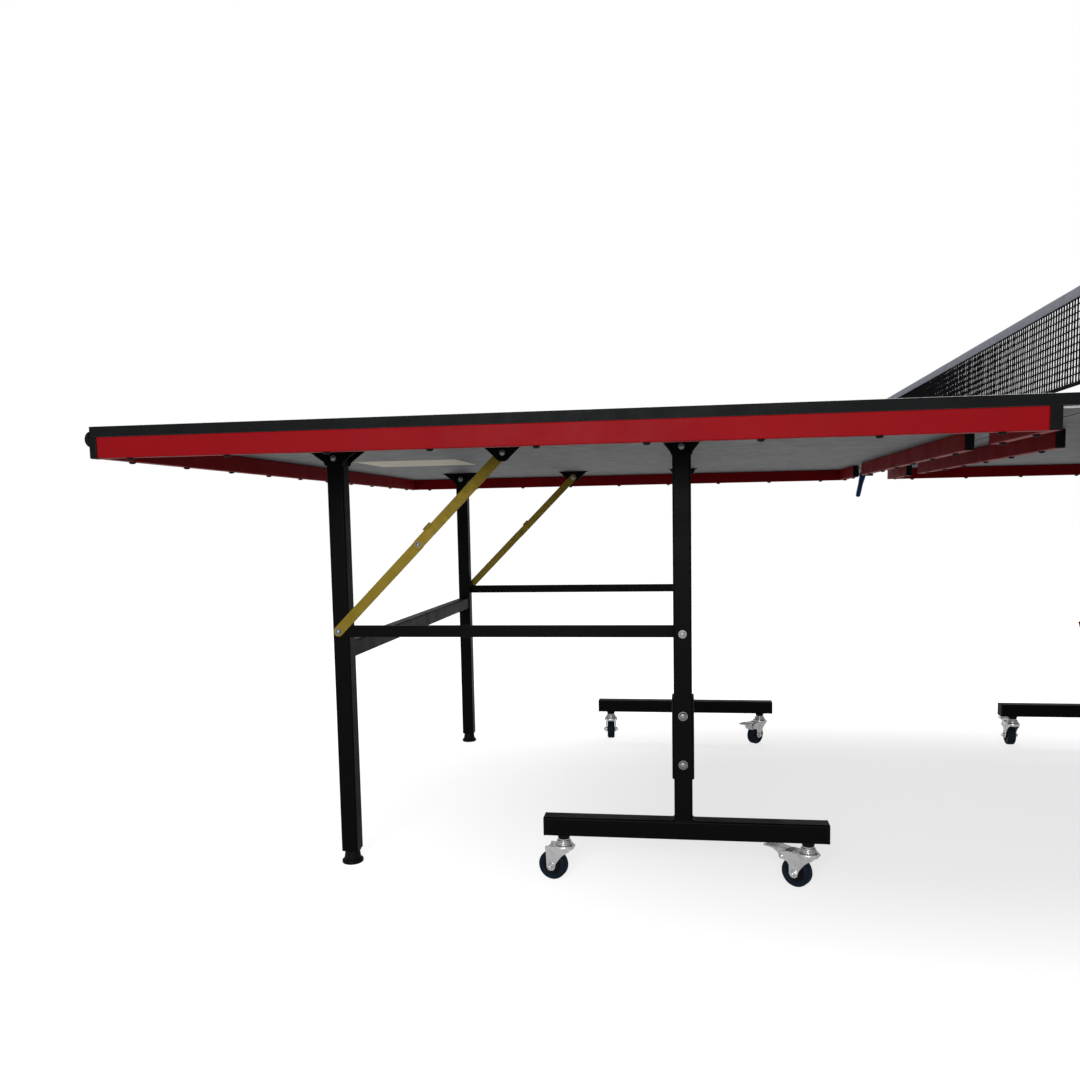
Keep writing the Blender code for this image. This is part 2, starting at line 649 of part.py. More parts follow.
def make_pedal(name, place):
    """Foot pedal hinged behind the wheel: a block round the pin and a paddle over it."""
    pin_x, pin_z = PEDAL_PIVOT
    stand_up = Matrix.Rotation(math.radians(90), 4, "X")
    block = [(pin_x - 0.003, pin_z - 0.006), (pin_x + 0.005, pin_z - 0.006)]
    block += [(pin_x + 0.010, pin_z + 0.004), (0.060, 0.0580), (0.075, 0.0600), (0.0755, 0.0625)]
    block += [(0.050, 0.0635), (pin_x - 0.006, 0.0620), (pin_x - 0.006, 0.0575), (pin_x - 0.003, 0.0560)]
    pedal = plate(block, 0.0205, stand_up)
    paddle = [(0.0515, 0.0605), (0.073, 0.0600), (0.0755, 0.0610), (0.0755, 0.0628), (0.0515, 0.0634)]
    pedal = join(pedal, plate(paddle, 0.028, stand_up))
    bore = rod((pin_x, -0.02, pin_z), (pin_x, 0.02, pin_z), PEDAL_PIN / 2 + 0.0004, steps=HOLE_STEPS)
    pedal = cut(pedal, bore)
    finish(name, moved(pedal, place), "zinc", place @ Vector((pin_x, 0, pin_z)))


# ---- net set --------------------------------------------------------------------------
def make_net():
    reach = POST_Y - POST_RADIUS - 0.0005
    net = box((-NET_THICKNESS / 2, -reach, NET_BOTTOM_Z), (NET_THICKNESS / 2, reach, NET_TOP_Z))
    finish("net", net, "netting")


def make_net_post(side_name):
    """Post, arm, the web outside the table's edge and the jaw on top of the panels."""
    across = ACROSS[side_name]
    web = (HALF_WIDTH + 0.002, HALF_WIDTH + 0.008)
    post = rod((0, across * POST_Y, TABLE_HEIGHT - 0.028), (0, across * POST_Y, NET_TOP_Z + 0.004),
               POST_RADIUS)
    arm = box((-0.0125, across * web[0], TABLE_HEIGHT - 0.024), (0.0125, across * POST_Y,
                                                               TABLE_HEIGHT - 0.018))
    plate_out = box((-CLAMP_HALF_X, across * web[0], TABLE_HEIGHT - 0.034),
                    (CLAMP_HALF_X, across * web[1], TABLE_HEIGHT + 0.0045))
    jaw = box((-CLAMP_HALF_X, across * (HALF_WIDTH - 0.042), TABLE_HEIGHT + GAP),
              (CLAMP_HALF_X, across * web[1], TABLE_HEIGHT + 0.0045))
    finish(f"{side_name}_net_post", join(post, arm, plate_out, jaw), "black_paint")


def make_clamp_lever(side_name):
    """Cam lever that hangs from the left half under the net line."""
    across = ACROSS[side_name]
    pivot_x, pivot_y, pivot_z = LEVER_PIVOT
    pivot = Vector((-pivot_x, across * pivot_y, pivot_z))
    stand_up = Matrix.Rotation(math.radians(90), 4, "X")
    lean = Matrix.Rotation(LEVER_LEAN, 4, "Y")
    head = arc((0, 0), 0.0072, 20, 160, 5)
    tip = arc((0, -LEVER_LENGTH + 0.005), 0.005, 200, 340, 3)
    outline = head + [(-0.0072, -0.012), (-0.0062, -0.035)] + tip + [(0.0062, -0.035), (0.0072, -0.012)]
    lever = plate(outline, 0.0130, Matrix.Translation(pivot) @ lean @ stand_up)
    bore = rod(pivot - Vector((0, 0.02, 0)), pivot + Vector((0, 0.02, 0)), 0.0029, steps=HOLE_STEPS)
    finish(f"{side_name}_clamp_lever", cut(lever, bore), "blue_grip", pivot)


# ---- holder ---------------------------------------------------------------------------
def make_bat_holder():
    """Bent sheet on the inner face of the right far wheel leg: back, floor and lip."""
    sheet = 0.002
    back_y = WHEEL_LEG_Y - SLEEVE / 2 - GAP
    low, high = HOLDER_Z
    profile = [(0.0, high), (0.0, low), (-0.030, low - 0.006), (-0.033, low + 0.012)]
    inside = [(-0.033 + sheet, low + 0.012), (-0.030 + sheet, low - 0.006 + 0.0024)]
    inside += [(-sheet, low + sheet), (-sheet, high)]
    turn = Matrix(((0, 0, 1), (1, 0, 0), (0, 1, 0))).to_4x4()
    place = Matrix.Translation((WHEEL_LEG_X, back_y, 0)) @ turn
    holder = plate(profile + inside, HOLDER_WIDTH[1], place)
    taper = (HOLDER_WIDTH[1] - HOLDER_WIDTH[0]) / HOLDER_WIDTH[1]
    for vertex in holder.data.vertices:
        share = max(0.0, min(1.0, (high - vertex.co.z) / (high - low)))
        vertex.co.x = WHEEL_LEG_X + (vertex.co.x - WHEEL_LEG_X) * (1 - taper * share)
    finish("bat_holder", holder, "red_paint")


def build():
    for half in MIRROR:
        make_panel(half)
        make_apron_frame(half)
        make_net_rail(half)
        make_end_leg_frame(half)
        make_carriage_frame(half)
        for side_name in ACROSS:
            make_leg_bracket(half, side_name, "wheel_leg")
            make_leg_bracket(half, side_name, "end_leg")
            make_base_tee(half, side_name)
            make_link_bar(half, side_name)
            make_braces(half, side_name)
            for end in ("outer", "inner"):
                make_caster(half, side_name, end)
    make_net()
    for side_name in ACROSS:
        make_net_post(side_name)
        make_clamp_lever(side_name)
    make_bat_holder()


build()
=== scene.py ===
"""Looks of the roll-away ping pong table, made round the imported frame.

Metres, +Z up, in the frame's coordinates: X along the table, the net line at X = 0.
What repeats is drawn in the +X, +Y quarter, and a piece mirrors it into its own quarter.
"""
import json
import math
import random

import bmesh
import bpy
from mathutils import Matrix, Vector


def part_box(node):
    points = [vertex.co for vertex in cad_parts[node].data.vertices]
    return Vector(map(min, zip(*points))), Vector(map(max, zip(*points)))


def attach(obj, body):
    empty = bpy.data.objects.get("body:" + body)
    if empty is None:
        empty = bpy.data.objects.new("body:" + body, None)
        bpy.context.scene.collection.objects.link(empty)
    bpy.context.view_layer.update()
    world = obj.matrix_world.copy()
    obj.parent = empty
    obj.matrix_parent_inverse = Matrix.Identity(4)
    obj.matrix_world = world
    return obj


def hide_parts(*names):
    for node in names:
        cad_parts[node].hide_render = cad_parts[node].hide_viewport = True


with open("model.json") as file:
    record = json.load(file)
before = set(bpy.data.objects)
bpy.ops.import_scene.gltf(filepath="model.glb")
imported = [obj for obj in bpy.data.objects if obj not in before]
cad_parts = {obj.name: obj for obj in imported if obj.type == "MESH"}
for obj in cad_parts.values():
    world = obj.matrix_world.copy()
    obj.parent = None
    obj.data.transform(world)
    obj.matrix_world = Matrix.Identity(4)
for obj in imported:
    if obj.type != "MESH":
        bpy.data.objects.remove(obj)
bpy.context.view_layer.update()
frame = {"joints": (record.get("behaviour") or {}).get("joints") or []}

JOINTS = {joint["name"]: joint for joint in frame["joints"]}
HALVES = {"left": -1, "right": 1}
SIDES = {"near": -1, "far": 1}


def pivot(joint):
    return Vector(JOINTS[joint]["pos_m"])


def middle(node):
    low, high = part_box(node)
    return (low + high) / 2


# ---- sizes read from the frame ---------------------------------------------------------
PANEL_LOW, PANEL_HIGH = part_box("right_panel")
APRON_LOW, APRON_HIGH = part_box("right_apron_frame")
LEG_X, _, PIVOT_Z = pivot("right_fold")
END_X = pivot("right_end_leg_fold").x
LEG_Y = middle("right_far_base_tee").y
END_Y = middle("right_far_end_leg_bracket").y
LINK_Z = pivot("right_far_link_turn").z
BRACE = pivot("right_far_upper_brace_turn")
KNEE = pivot("right_far_lower_brace_turn")
TEE_LOW, TEE_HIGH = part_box("right_far_base_tee")
NET_LOW, NET_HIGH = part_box("net")

# ---- sizes of the looks ----------------------------------------------------------------
TUBE = 0.030                 # square tube of the legs
TUBE_ROUND = 0.0035
CROSS_TUBE = 0.025
LEG_TOP = PIVOT_Z + 0.006
SLEEVE = 0.036
SLEEVE_Z = (0.185, 0.322)
SLEEVE_BOLT_Z = (0.2095, 0.2909)
BAR_Z = (0.081, 0.1130)      # base bar, underside and top
END_BAR_Z = 0.390            # crossbar of the end legs
FOOT_TOP = 0.024
WELD_MARGIN = 0.0036         # how much wider than its tube a weld bead is
SHEET = 0.0025               # steel of the brackets and the brace plates
BRACKET_HALF = {"wheel_leg": 0.033, "end_leg": 0.045}
STAY_WIDTH = 0.018
LINK_WIDTH = 0.020
RAIL = 0.015                 # width of the red rails
RAIL_ROUND = 0.0014
STUB_Y = 0.540               # inner end of the short net-side rails
LONG_RAIL_SCREWS = [0.1287 + 0.1479 * step for step in range(9)]
END_RAIL_SCREWS = [0.075 + 0.150 * step for step in range(5)]
STUB_SCREWS = [0.575, 0.700]
CROSS_RAIL_SCREWS = [0.070 + 0.140 * step for step in range(3)]
LINE_WIDTH = 0.020
CENTRE_LINE = 0.003
LABEL_LOW, LABEL_HIGH = (-1.222, -0.118), (-1.000, 0.072)
MESH_ROW = 0.0102            # netting, knot to knot up the net
MESH_COLUMN = 0.0088         # and along it
CORD_RADIUS = 0.00090
TAPE_HEIGHT = 0.0120
BAND_HEIGHT = 0.0055
BAND_LOW = NET_LOW.z + 0.003
POCKET_HALF = 0.009          # half the width of the net's side pockets
TRAIL = 0.020                # from a caster's stem back to its axle
WHEEL_RADIUS = 0.025
AXLE_END = 0.0132            # where the axle's nuts sit on the fork's cheeks
BRAKE_PIN = (0.042, 0.049)   # X and Z from the stem's foot
SHARP_EDGE = math.radians(38)


# ---- shapes: each function returns a closed bmesh --------------------------------------
def bevelled(shape, radius, segments=3, angle=30.0):
    if radius > 0:
        sharp = [e for e in shape.edges if e.calc_face_angle(0.0) > math.radians(angle)]
        bmesh.ops.bevel(shape, geom=sharp, offset=radius, segments=segments, profile=0.5,
                        affect="EDGES", clamp_overlap=True)
    return shape


def put(shape, place):
    bmesh.ops.transform(shape, matrix=place, verts=shape.verts)
    if place.to_3x3().determinant() < 0:
        bmesh.ops.reverse_faces(shape, faces=shape.faces)
    return shape


def at(x=0.0, y=0.0, z=0.0):
    return Matrix.Translation((x, y, z))


def both_sides(*shapes):
    """The shapes, each with its mirror image across the table's long centre line."""
    return [*shapes, *(put(shape.copy(), MIRROR_Y) for shape in shapes)]


def block(low, high, radius=0.0, segments=2):
    low, high = Vector(low), Vector(high)
    shape = bmesh.new()
    bmesh.ops.create_cube(shape, size=1.0)
    bmesh.ops.scale(shape, vec=high - low, verts=shape.verts)
    bmesh.ops.translate(shape, vec=(low + high) / 2, verts=shape.verts)
    return bevelled(shape, radius, segments)


def prism(outline, thickness, radius=0.0, segments=2, angle=30.0):
    """An outline in XY, extruded both ways in Z by half a thickness."""
    shape = bmesh.new()
    face = shape.faces.new([shape.verts.new((u, v, -thickness / 2)) for u, v in outline])
    grown = bmesh.ops.extrude_face_region(shape, geom=[face])
    top = [item for item in grown["geom"] if isinstance(item, bmesh.types.BMVert)]
    bmesh.ops.translate(shape, vec=(0, 0, thickness), verts=top)
    bmesh.ops.recalc_face_normals(shape, faces=shape.faces)
    return bevelled(shape, radius, segments, angle)


def lathe(profile, steps=40, ring=False):
    """(radius, height) points turned about Z. A ring's profile is closed on itself."""
    shape = bmesh.new()
    verts = [shape.verts.new((radius, 0.0, height)) for radius, height in profile]
    edges = [shape.edges.new(pair) for pair in zip(verts, verts[1:] + (verts[:1] if ring else []))]
    bmesh.ops.spin(shape, geom=verts + edges, axis=(0, 0, 1), cent=(0, 0, 0),
                   angle=math.tau, steps=steps, use_duplicate=False)
    bmesh.ops.remove_doubles(shape, verts=shape.verts, dist=0.000002)
    bmesh.ops.dissolve_degenerate(shape, edges=shape.edges, dist=0.000001)
    bmesh.ops.recalc_face_normals(shape, faces=shape.faces)
    return shape


def arc(centre, radius, start, end, steps):
    """Points on an arc, angles in degrees."""
    points = []
    for step in range(steps + 1):
        angle = math.radians(start + (end - start) * step / steps)
        points.append((centre[0] + radius * math.cos(angle), centre[1] + radius * math.sin(angle)))
    return points


def rounded(width, height, radius, steps=5):
    points = []
    for sign_u, sign_v, start in ((1, 1, 0), (-1, 1, 90), (-1, -1, 180), (1, -1, 270)):
        centre = (sign_u * (width / 2 - radius), sign_v * (height / 2 - radius))
        points += arc(centre, radius, start, start + 90, steps)
    return points


UPRIGHT = Matrix.Rotation(math.radians(90), 4, "X")      # an outline's Y becomes Z
MIRROR_Y = Matrix.Diagonal((1, -1, 1, 1))
ALONG_X = Matrix(((0, 0, 1), (1, 0, 0), (0, 1, 0))).to_4x4()
FACING_Y = Matrix.Rotation(math.radians(-90), 4, "X")    # a turned shape's Z becomes +Y


def tube_z(x, y, low, high, size=TUBE, radius=TUBE_ROUND, end_round=0.0006):
    shape = prism(rounded(size, size, radius), high - low, end_round, 2, 60)
    return put(shape, at(x, y, (low + high) / 2))


def tube_y(x, z, low, high, width, height, radius=0.003):
    shape = prism(rounded(width, height, radius), high - low)
    return put(shape, at(x, (low + high) / 2, z) @ UPRIGHT)


def tube_x(y, z, low, high, width, height, radius=0.003):
    shape = prism(rounded(width, height, radius), high - low)
    return put(shape, at((low + high) / 2, y, z) @ ALONG_X)


def flat_bar(first, second, width, y_low, y_high, edge=0.0006):
    """Flat bar with round ends between two pivots in the XZ plane."""
    span = Vector((second.x - first.x, 0, second.z - first.z))
    half = span.length / 2
    outline = arc((half, 0), width / 2, -90, 90, 14) + arc((-half, 0), width / 2, 90, 270, 14)
    turn = Matrix.Rotation(-math.atan2(span.z, span.x), 4, "Y")
    place = at((first.x + second.x) / 2, (y_low + y_high) / 2, (first.z + second.z) / 2)
    return put(prism(outline, y_high - y_low, edge, 2, 60), place @ turn @ UPRIGHT)


def dome_bolt(radius=0.0062, height=0.0036):
    """Pan head with a cross recess on a washer; the joined face is at Z = 0."""
    washer = lathe([(0, 0), (radius * 1.18, 0), (radius * 1.18, 0.0009), (0, 0.0009)], 32)
    crown = [(0, 0.0009), (radius, 0.0009), (radius, 0.0016)]
    crown += [(radius * math.cos(a), 0.0016 + height * math.sin(a))
              for a in (math.radians(step * 11.25) for step in range(1, 6))]
    top = crown[-1][1]
    crown += [(radius * 0.38, top + 0.0002), (radius * 0.30, top - 0.0008), (0, top - 0.0009)]
    return [washer, lathe(crown, 32)]


def hex_nut(radius=0.0070, height=0.0052, stud=0.0040):
    """Lock nut on a washer with the end of its bolt; the joined face is at Z = 0."""
    washer = lathe([(0, 0), (radius * 1.25, 0), (radius * 1.25, 0.0010), (0, 0.0010)], 32)
    sides = [(radius * math.cos(math.radians(a)), radius * math.sin(math.radians(a)))
             for a in range(0, 360, 60)]
    nut = put(prism(sides, height - 0.0015, 0.0005, 2), at(z=0.0010 + (height - 0.0015) / 2))
    collar = lathe([(0, height - 0.0006), (radius * 0.74, height - 0.0006),
                    (radius * 0.68, height + 0.0008), (stud, height + 0.0008),
                    (stud, height + 0.0020), (stud * 0.8, height + 0.0024), (0, height + 0.0024)], 28)
    return [washer, nut, collar]


def weld_beads(x, z, inner, width, height):
    """Beads round a cross tube where its two ends meet the legs."""
    bead = prism(rounded(width + WELD_MARGIN, height + WELD_MARGIN, 0.0045), 0.0026, 0.0011, 3)
    return both_sides(put(bead, at(x, inner - 0.0006, z) @ UPRIGHT))


def fixed_at(shapes, x, y, z, outward=1):
    """Turns fasteners made at the origin to face +Y or -Y at a place."""
    face = FACING_Y if outward > 0 else UPRIGHT
    return [put(shape, at(x, y, z) @ face) for shape in shapes]


# ---- materials --------------------------------------------------------------------------
FLOOR_COLOR = (0.36, 0.36, 0.36)
FLOOR_BOUNCE = (0.48, 0.48, 0.48)
FLOOR_PAINTED_GLOW = (0.70, 0.97)    # painted glow near the table and far from it; the dimmer glow near the table is a painted shadow round it
# distances over which the painted shadow round the table fades into the full painted glow, then the stretch
# of those distances along X, Y and Z
FLOOR_PAINTED_SHADOW_REACH = (0.35, 1.05)
FLOOR_PAINTED_SHADOW_SHAPE = (0.7, 1.0, 1.0)
GLOSSY_SHARE = 0.6           # how much of the white set shows in glossy reflections
PLASTIC_SPECULAR = 0.04


class Paint:
    """A Principled material with a few procedural helpers."""

    def __init__(self, name, roughness=0.5, metallic=0.0, specular=0.5):
        self.material = bpy.data.materials.new(name)
        self.material.use_nodes = True
        self.tree = self.material.node_tree
        self.shader = self.tree.nodes["Principled BSDF"]
        self.shader.inputs["Roughness"].default_value = roughness
        self.shader.inputs["Metallic"].default_value = metallic
        self.shader.inputs["Specular IOR Level"].default_value = specular
        self.place = self.tree.nodes.new("ShaderNodeTexCoord").outputs["Object"]
        self.normal = None

    def link(self, start, end):
        self.tree.links.new(start, end)

    def stretched(self, stretch):
        mapping = self.tree.nodes.new("ShaderNodeMapping")
        mapping.inputs["Scale"].default_value = stretch
        self.link(self.place, mapping.inputs["Vector"])
        return mapping.outputs["Vector"]

    def noise(self, scale, detail=3.0, stretch=(1, 1, 1), rough=0.5):
        node = self.tree.nodes.new("ShaderNodeTexNoise")
        node.inputs["Scale"].default_value = scale
        node.inputs["Detail"].default_value = detail
        node.inputs["Roughness"].default_value = rough
        self.link(self.stretched(stretch), node.inputs["Vector"])
        return node.outputs["Fac"]

    def wave(self, scale, direction):
        node = self.tree.nodes.new("ShaderNodeTexWave")
        node.bands_direction = direction
        node.inputs["Scale"].default_value = scale
        self.link(self.place, node.inputs["Vector"])
        return node.outputs["Fac"]

    def ramp(self, value, *stops):
        """Colours at two positions, each stop a position and its colour."""
        node = self.tree.nodes.new("ShaderNodeValToRGB")
        for element, (position, color) in zip(node.color_ramp.elements, stops):
            element.position = position
            element.color = (*color, 1)
        self.link(value, node.inputs["Fac"])
        return node.outputs["Color"]

    def cloudy(self, color, scale, detail, low, high, rough=0.5):
        """A colour that drifts between two factors of itself."""
        value = self.noise(scale, detail, rough=rough)
        return self.ramp(value, (0.3, shade(color, low)), (0.7, shade(color, high)))

    def math(self, operation, first, second):
        node = self.tree.nodes.new("ShaderNodeMath")
        node.operation = operation
        for value, socket in zip((first, second), node.inputs):
            if isinstance(value, (int, float)):
                socket.default_value = value
            else:
                self.link(value, socket)
        return node.outputs["Value"]

    def uneven(self, scale, detail, low, high):
        """Roughness that drifts between two values."""
        node = self.tree.nodes.new("ShaderNodeMapRange")
        node.inputs["From Min"].default_value = 0.3
        node.inputs["From Max"].default_value = 0.7
        node.inputs["To Min"].default_value = low
        node.inputs["To Max"].default_value = high
        self.link(self.noise(scale, detail), node.inputs["Value"])
        self.link(node.outputs["Result"], self.shader.inputs["Roughness"])

    def mixed(self, value, first, second):
        node = self.tree.nodes.new("ShaderNodeMix")
        node.data_type = "RGBA"
        self.link(value, node.inputs["Factor"])
        for color, socket in ((first, node.inputs[6]), (second, node.inputs[7])):
            if isinstance(color, tuple):
                socket.default_value = (*color, 1)
            else:
                self.link(color, socket)
        return node.outputs[2]

    def color(self, value):
        self.link(value, self.shader.inputs["Base Color"])

    def bump(self, height, strength, distance):
        node = self.tree.nodes.new("ShaderNodeBump")
        node.inputs["Strength"].default_value = strength
        node.inputs["Distance"].default_value = distance
        self.link(height, node.inputs["Height"])
        if self.normal:
            self.link(self.normal, node.inputs["Normal"])
        self.normal = node.outputs["Normal"]
        self.link(self.normal, self.shader.inputs["Normal"])


def shade(color, factor):
    return tuple(min(1.0, channel * factor) for channel in color)


def powder_coat(name, color, roughness, scuff, specular):
    """Satin powder coat: orange peel, cloudy tone and a few faint rubbed spots."""
    paint = Paint(name, roughness, specular=specular)
    base = paint.cloudy(color, 7, 4, 0.92, 1.07)
    rubbed = paint.ramp(paint.noise(46, 5, rough=0.65), (0.68, (0, 0, 0)), (0.80, (0.22, 0.22, 0.22)))
    paint.color(paint.mixed(rubbed, base, scuff))
    paint.uneven(23, 4, roughness - 0.05, roughness + 0.09)
    paint.bump(paint.noise(620, 2), 0.10, 0.0004)
    return paint.material


def metal(name, color, roughness, spread=0.10, tint=None, metallic=0.8, specular=0.5):
    """Plated steel: mottled plating, fine rolling lines and dull spots."""
    paint = Paint(name, roughness, metallic, specular)
    base = paint.ramp(paint.noise(55, 5, rough=0.6), (0.35, shade(color, 1 - spread)),
                      (0.65, tint or shade(color, 1 + spread)))
    dull = paint.ramp(paint.noise(170, 3), (0.60, (0, 0, 0)), (0.75, (0.15, 0.15, 0.15)))
    paint.color(paint.mixed(dull, base, shade(color, 0.6)))
    paint.uneven(90, 4, roughness - 0.07, roughness + 0.12)
    paint.bump(paint.noise(300, 2, (0.3, 1, 1)), 0.03, 0.0001)
    return paint.material


def moulded(name, color, roughness, grain=700):
    """Moulded plastic or rubber with a fine spark-eroded grain."""
    paint = Paint(name, roughness, specular=PLASTIC_SPECULAR)
    paint.color(paint.cloudy(color, 26, 4, 0.85, 1.18))
    paint.uneven(60, 3, roughness - 0.06, roughness + 0.08)
    paint.bump(paint.noise(grain, 3), 0.16, 0.0003)
    return paint.material


def playing_surface():
    """Matt sprayed top: fine stipple, faint roller clouds."""
    paint = Paint("playing_paint", 0.55)
    paint.color(paint.cloudy((0.010, 0.042, 0.095), 3.2, 5, 0.93, 1.07))
    paint.uneven(14, 4, 0.50, 0.62)
    paint.bump(paint.noise(900, 3), 0.20, 0.0003)
    return paint.material


def line_paint():
    paint = Paint("line_paint", 0.5)
    paint.color(paint.cloudy((0.80, 0.80, 0.78), 30, 4, 0.95, 1.0))
    paint.bump(paint.noise(900, 3), 0.15, 0.0003)
    return paint.material


def underside():
    """Grey sealed board: pressed fibres, cloudy sealer and long sanding marks."""
    paint = Paint("board_underside", 0.55, specular=0.10)
    color = (0.145, 0.149, 0.155)
    fibre = paint.noise(210, 5, (1, 0.45, 1), 0.7)
    paint.color(paint.mixed(paint.ramp(fibre, (0.50, (0, 0, 0)), (0.85, (0.30, 0.30, 0.30))),
                            paint.cloudy(color, 4.5, 6, 0.90, 1.10, 0.6), shade(color, 0.70)))
    paint.uneven(38, 4, 0.46, 0.60)
    paint.bump(fibre, 0.08, 0.0003)
    return paint.material


def fabric(name, color, weave, sheen=0.0):
    """Close plain weave, seen as crossed fine ribs."""
    paint = Paint(name, 0.85, specular=0.08)
    ribs = paint.math("MULTIPLY", paint.wave(weave, "Y"), paint.wave(weave, "Z"))
    half_ribs = paint.math("MULTIPLY", ribs, 0.5)
    half_clouds = paint.math("MULTIPLY", paint.noise(40, 4), 0.5)
    paint.color(paint.ramp(paint.math("ADD", half_ribs, half_clouds), (0.15, shade(color, 0.72)),
                           (0.75, shade(color, 1.12))))
    paint.uneven(120, 3, 0.78, 0.94)
    paint.shader.inputs["Sheen Weight"].default_value = sheen
    paint.shader.inputs["Sheen Roughness"].default_value = 0.5
    paint.bump(ribs, 0.35, 0.0003)
    return paint.material


def paper():
    paint = Paint("blank_label", 0.6)
    paint.color(paint.cloudy((0.84, 0.77, 0.62), 60, 6, 0.90, 1.0, 0.7))
    paint.bump(paint.noise(500, 4), 0.12, 0.0002)
    return paint.material


def seen_directly(tree):
    """1 for what the camera sees, a share of it in glossy reflections, 0 for other light."""
    rays = tree.nodes.new("ShaderNodeLightPath")
    share = tree.nodes.new("ShaderNodeMath")
    share.operation = "MULTIPLY"
    share.inputs[1].default_value = GLOSSY_SHARE
    tree.links.new(rays.outputs["Is Glossy Ray"], share.inputs[0])
    both = tree.nodes.new("ShaderNodeMath")
    both.operation = "MAXIMUM"
    tree.links.new(rays.outputs["Is Camera Ray"], both.inputs[0])
    tree.links.new(share.outputs["Value"], both.inputs[1])
    return both.outputs["Value"]


def floor_paint():
    """Pale studio floor with a painted glow, dimmer near the table as a painted shadow, that throws little
    light on the table.
    """
    paint = Paint("studio_floor", 0.9, specular=0.0)
    seen = seen_directly(paint.tree)
    paint.color(paint.mixed(seen, FLOOR_BOUNCE, FLOOR_COLOR))
    paint.shader.inputs["Emission Color"].default_value = (1.0, 1.0, 1.0, 1.0)
    # Painted glow that grows with distance from the table's centre; its dimmer part near the table is a
    # painted shadow
    away = paint.tree.nodes.new("ShaderNodeVectorMath")
    away.operation = "LENGTH"
    paint.link(paint.stretched(FLOOR_PAINTED_SHADOW_SHAPE), away.inputs[0])
    painted_glow = paint.tree.nodes.new("ShaderNodeMapRange")
    painted_glow.interpolation_type = "SMOOTHSTEP"
    painted_glow.inputs["From Min"].default_value = FLOOR_PAINTED_SHADOW_REACH[0]
    painted_glow.inputs["From Max"].default_value = FLOOR_PAINTED_SHADOW_REACH[1]
    painted_glow.inputs["To Min"].default_value = FLOOR_PAINTED_GLOW[0]
    painted_glow.inputs["To Max"].default_value = FLOOR_PAINTED_GLOW[1]
    paint.link(away.outputs["Value"], painted_glow.inputs["Value"])
    strength = paint.math("MULTIPLY", seen, painted_glow.outputs["Result"])
    paint.link(strength, paint.shader.inputs["Emission Strength"])
    return paint.material


RED, RED_SCUFF = (0.245, 0.0035, 0.0065), (0.27, 0.012, 0.015)
BLACK, BLACK_SCUFF = (0.0020, 0.0020, 0.0023), (0.012, 0.012, 0.012)
YELLOW, YELLOW_TINT = (0.185, 0.132, 0.012), (0.200, 0.140, 0.015)

# Each look is a material and the record's slot that it stands for.
LOOKS = {
    "red": (powder_coat("red_powder_coat", RED, 0.48, RED_SCUFF, 0.05), "red_paint"),
    "black": (powder_coat("black_powder_coat", BLACK, 0.40, BLACK_SCUFF, 0.035), "black_paint"),
    "cap": (moulded("black_plastic", (0.0065, 0.0065, 0.0072), 0.45), "black_paint"),
    "zinc": (metal("zinc_plate", (0.56, 0.56, 0.57), 0.26), "zinc"),
    "bolt": (metal("dull_zinc_bolts", (0.20, 0.20, 0.21), 0.36), "zinc"),
    "yellow": (metal("yellow_passivated_plate", YELLOW, 0.42, 0.06, YELLOW_TINT, 0.30, 0.10),
               "brass_plate"),
    "tyre": (moulded("navy_black_tread", (0.0080, 0.0130, 0.0215), 0.50, 420), "tyre"),
    "hub": (moulded("wheel_hub", (0.0065, 0.0065, 0.0075), 0.42), "tyre"),
    "lever": (moulded("blue_plastic", (0.026, 0.066, 0.200), 0.42), "blue_grip"),
    "playing": (playing_surface(), "board"),
    "line": (line_paint(), "board"),
    "edge": (moulded("edge_band", (0.0060, 0.0070, 0.0074), 0.46, 500), "board"),
    "underside": (underside(), "board"),
    "cords": (fabric("net_cord", (0.006, 0.006, 0.008), 900), "netting"),
    "tape": (fabric("top_tape", (0.38, 0.38, 0.43), 320, 0.20), "netting"),
    "band": (fabric("bottom_band", (0.005, 0.005, 0.006), 320), "netting"),
    "label": (paper(), "board"),
}


# ---- pieces -----------------------------------------------------------------------------
def piece(name, body, look, shapes, replaces=(), mirror=(1, 1), more_looks=()):
    """Joins closed shapes in one named piece, mirrors it and sets it on its body."""
    whole = bmesh.new()
    for shape in shapes:
        part = bpy.data.meshes.new("part")
        shape.to_mesh(part)
        shape.free()
        whole.from_mesh(part)
        bpy.data.meshes.remove(part)
    put(whole, Matrix.Diagonal((*mirror, 1, 1)))
    data = bpy.data.meshes.new(name)
    whole.to_mesh(data)
    whole.free()
    for each in (look, *more_looks):
        data.materials.append(LOOKS[each][0])
    data.shade_smooth()
    data.set_sharp_from_angle(angle=SHARP_EDGE)
    obj = bpy.data.objects.new(name, data)
    bpy.context.scene.collection.objects.link(obj)
    weighted = obj.modifiers.new("weighted_normals", "WEIGHTED_NORMAL")
    weighted.keep_sharp = True
    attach(obj, body)
    if replaces:
        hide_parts(*replaces)
    return obj


def cut_lines(shape):
    """Divides the board's top along its painted lines and gives each face its look."""
    line_y = PANEL_HIGH.y - LINE_WIDTH
    planes = [((0, y, 0), (0, 1, 0)) for y in (-line_y, -CENTRE_LINE / 2, CENTRE_LINE / 2, line_y)]
    planes.append(((PANEL_HIGH.x - LINE_WIDTH, 0, 0), (1, 0, 0)))
    for point, normal in planes:
        everything = shape.verts[:] + shape.edges[:] + shape.faces[:]
        bmesh.ops.bisect_plane(shape, geom=everything, plane_co=point, plane_no=normal)
    for face in shape.faces:
        x, y, _ = face.calc_center_median()
        on_line = abs(y) > line_y or abs(y) < CENTRE_LINE / 2 or x > PANEL_HIGH.x - LINE_WIDTH
        if face.normal.z > 0.9:
            face.material_index = 1 if on_line else 0
        else:
            face.material_index = 3 if face.normal.z < -0.9 else 2
    return shape


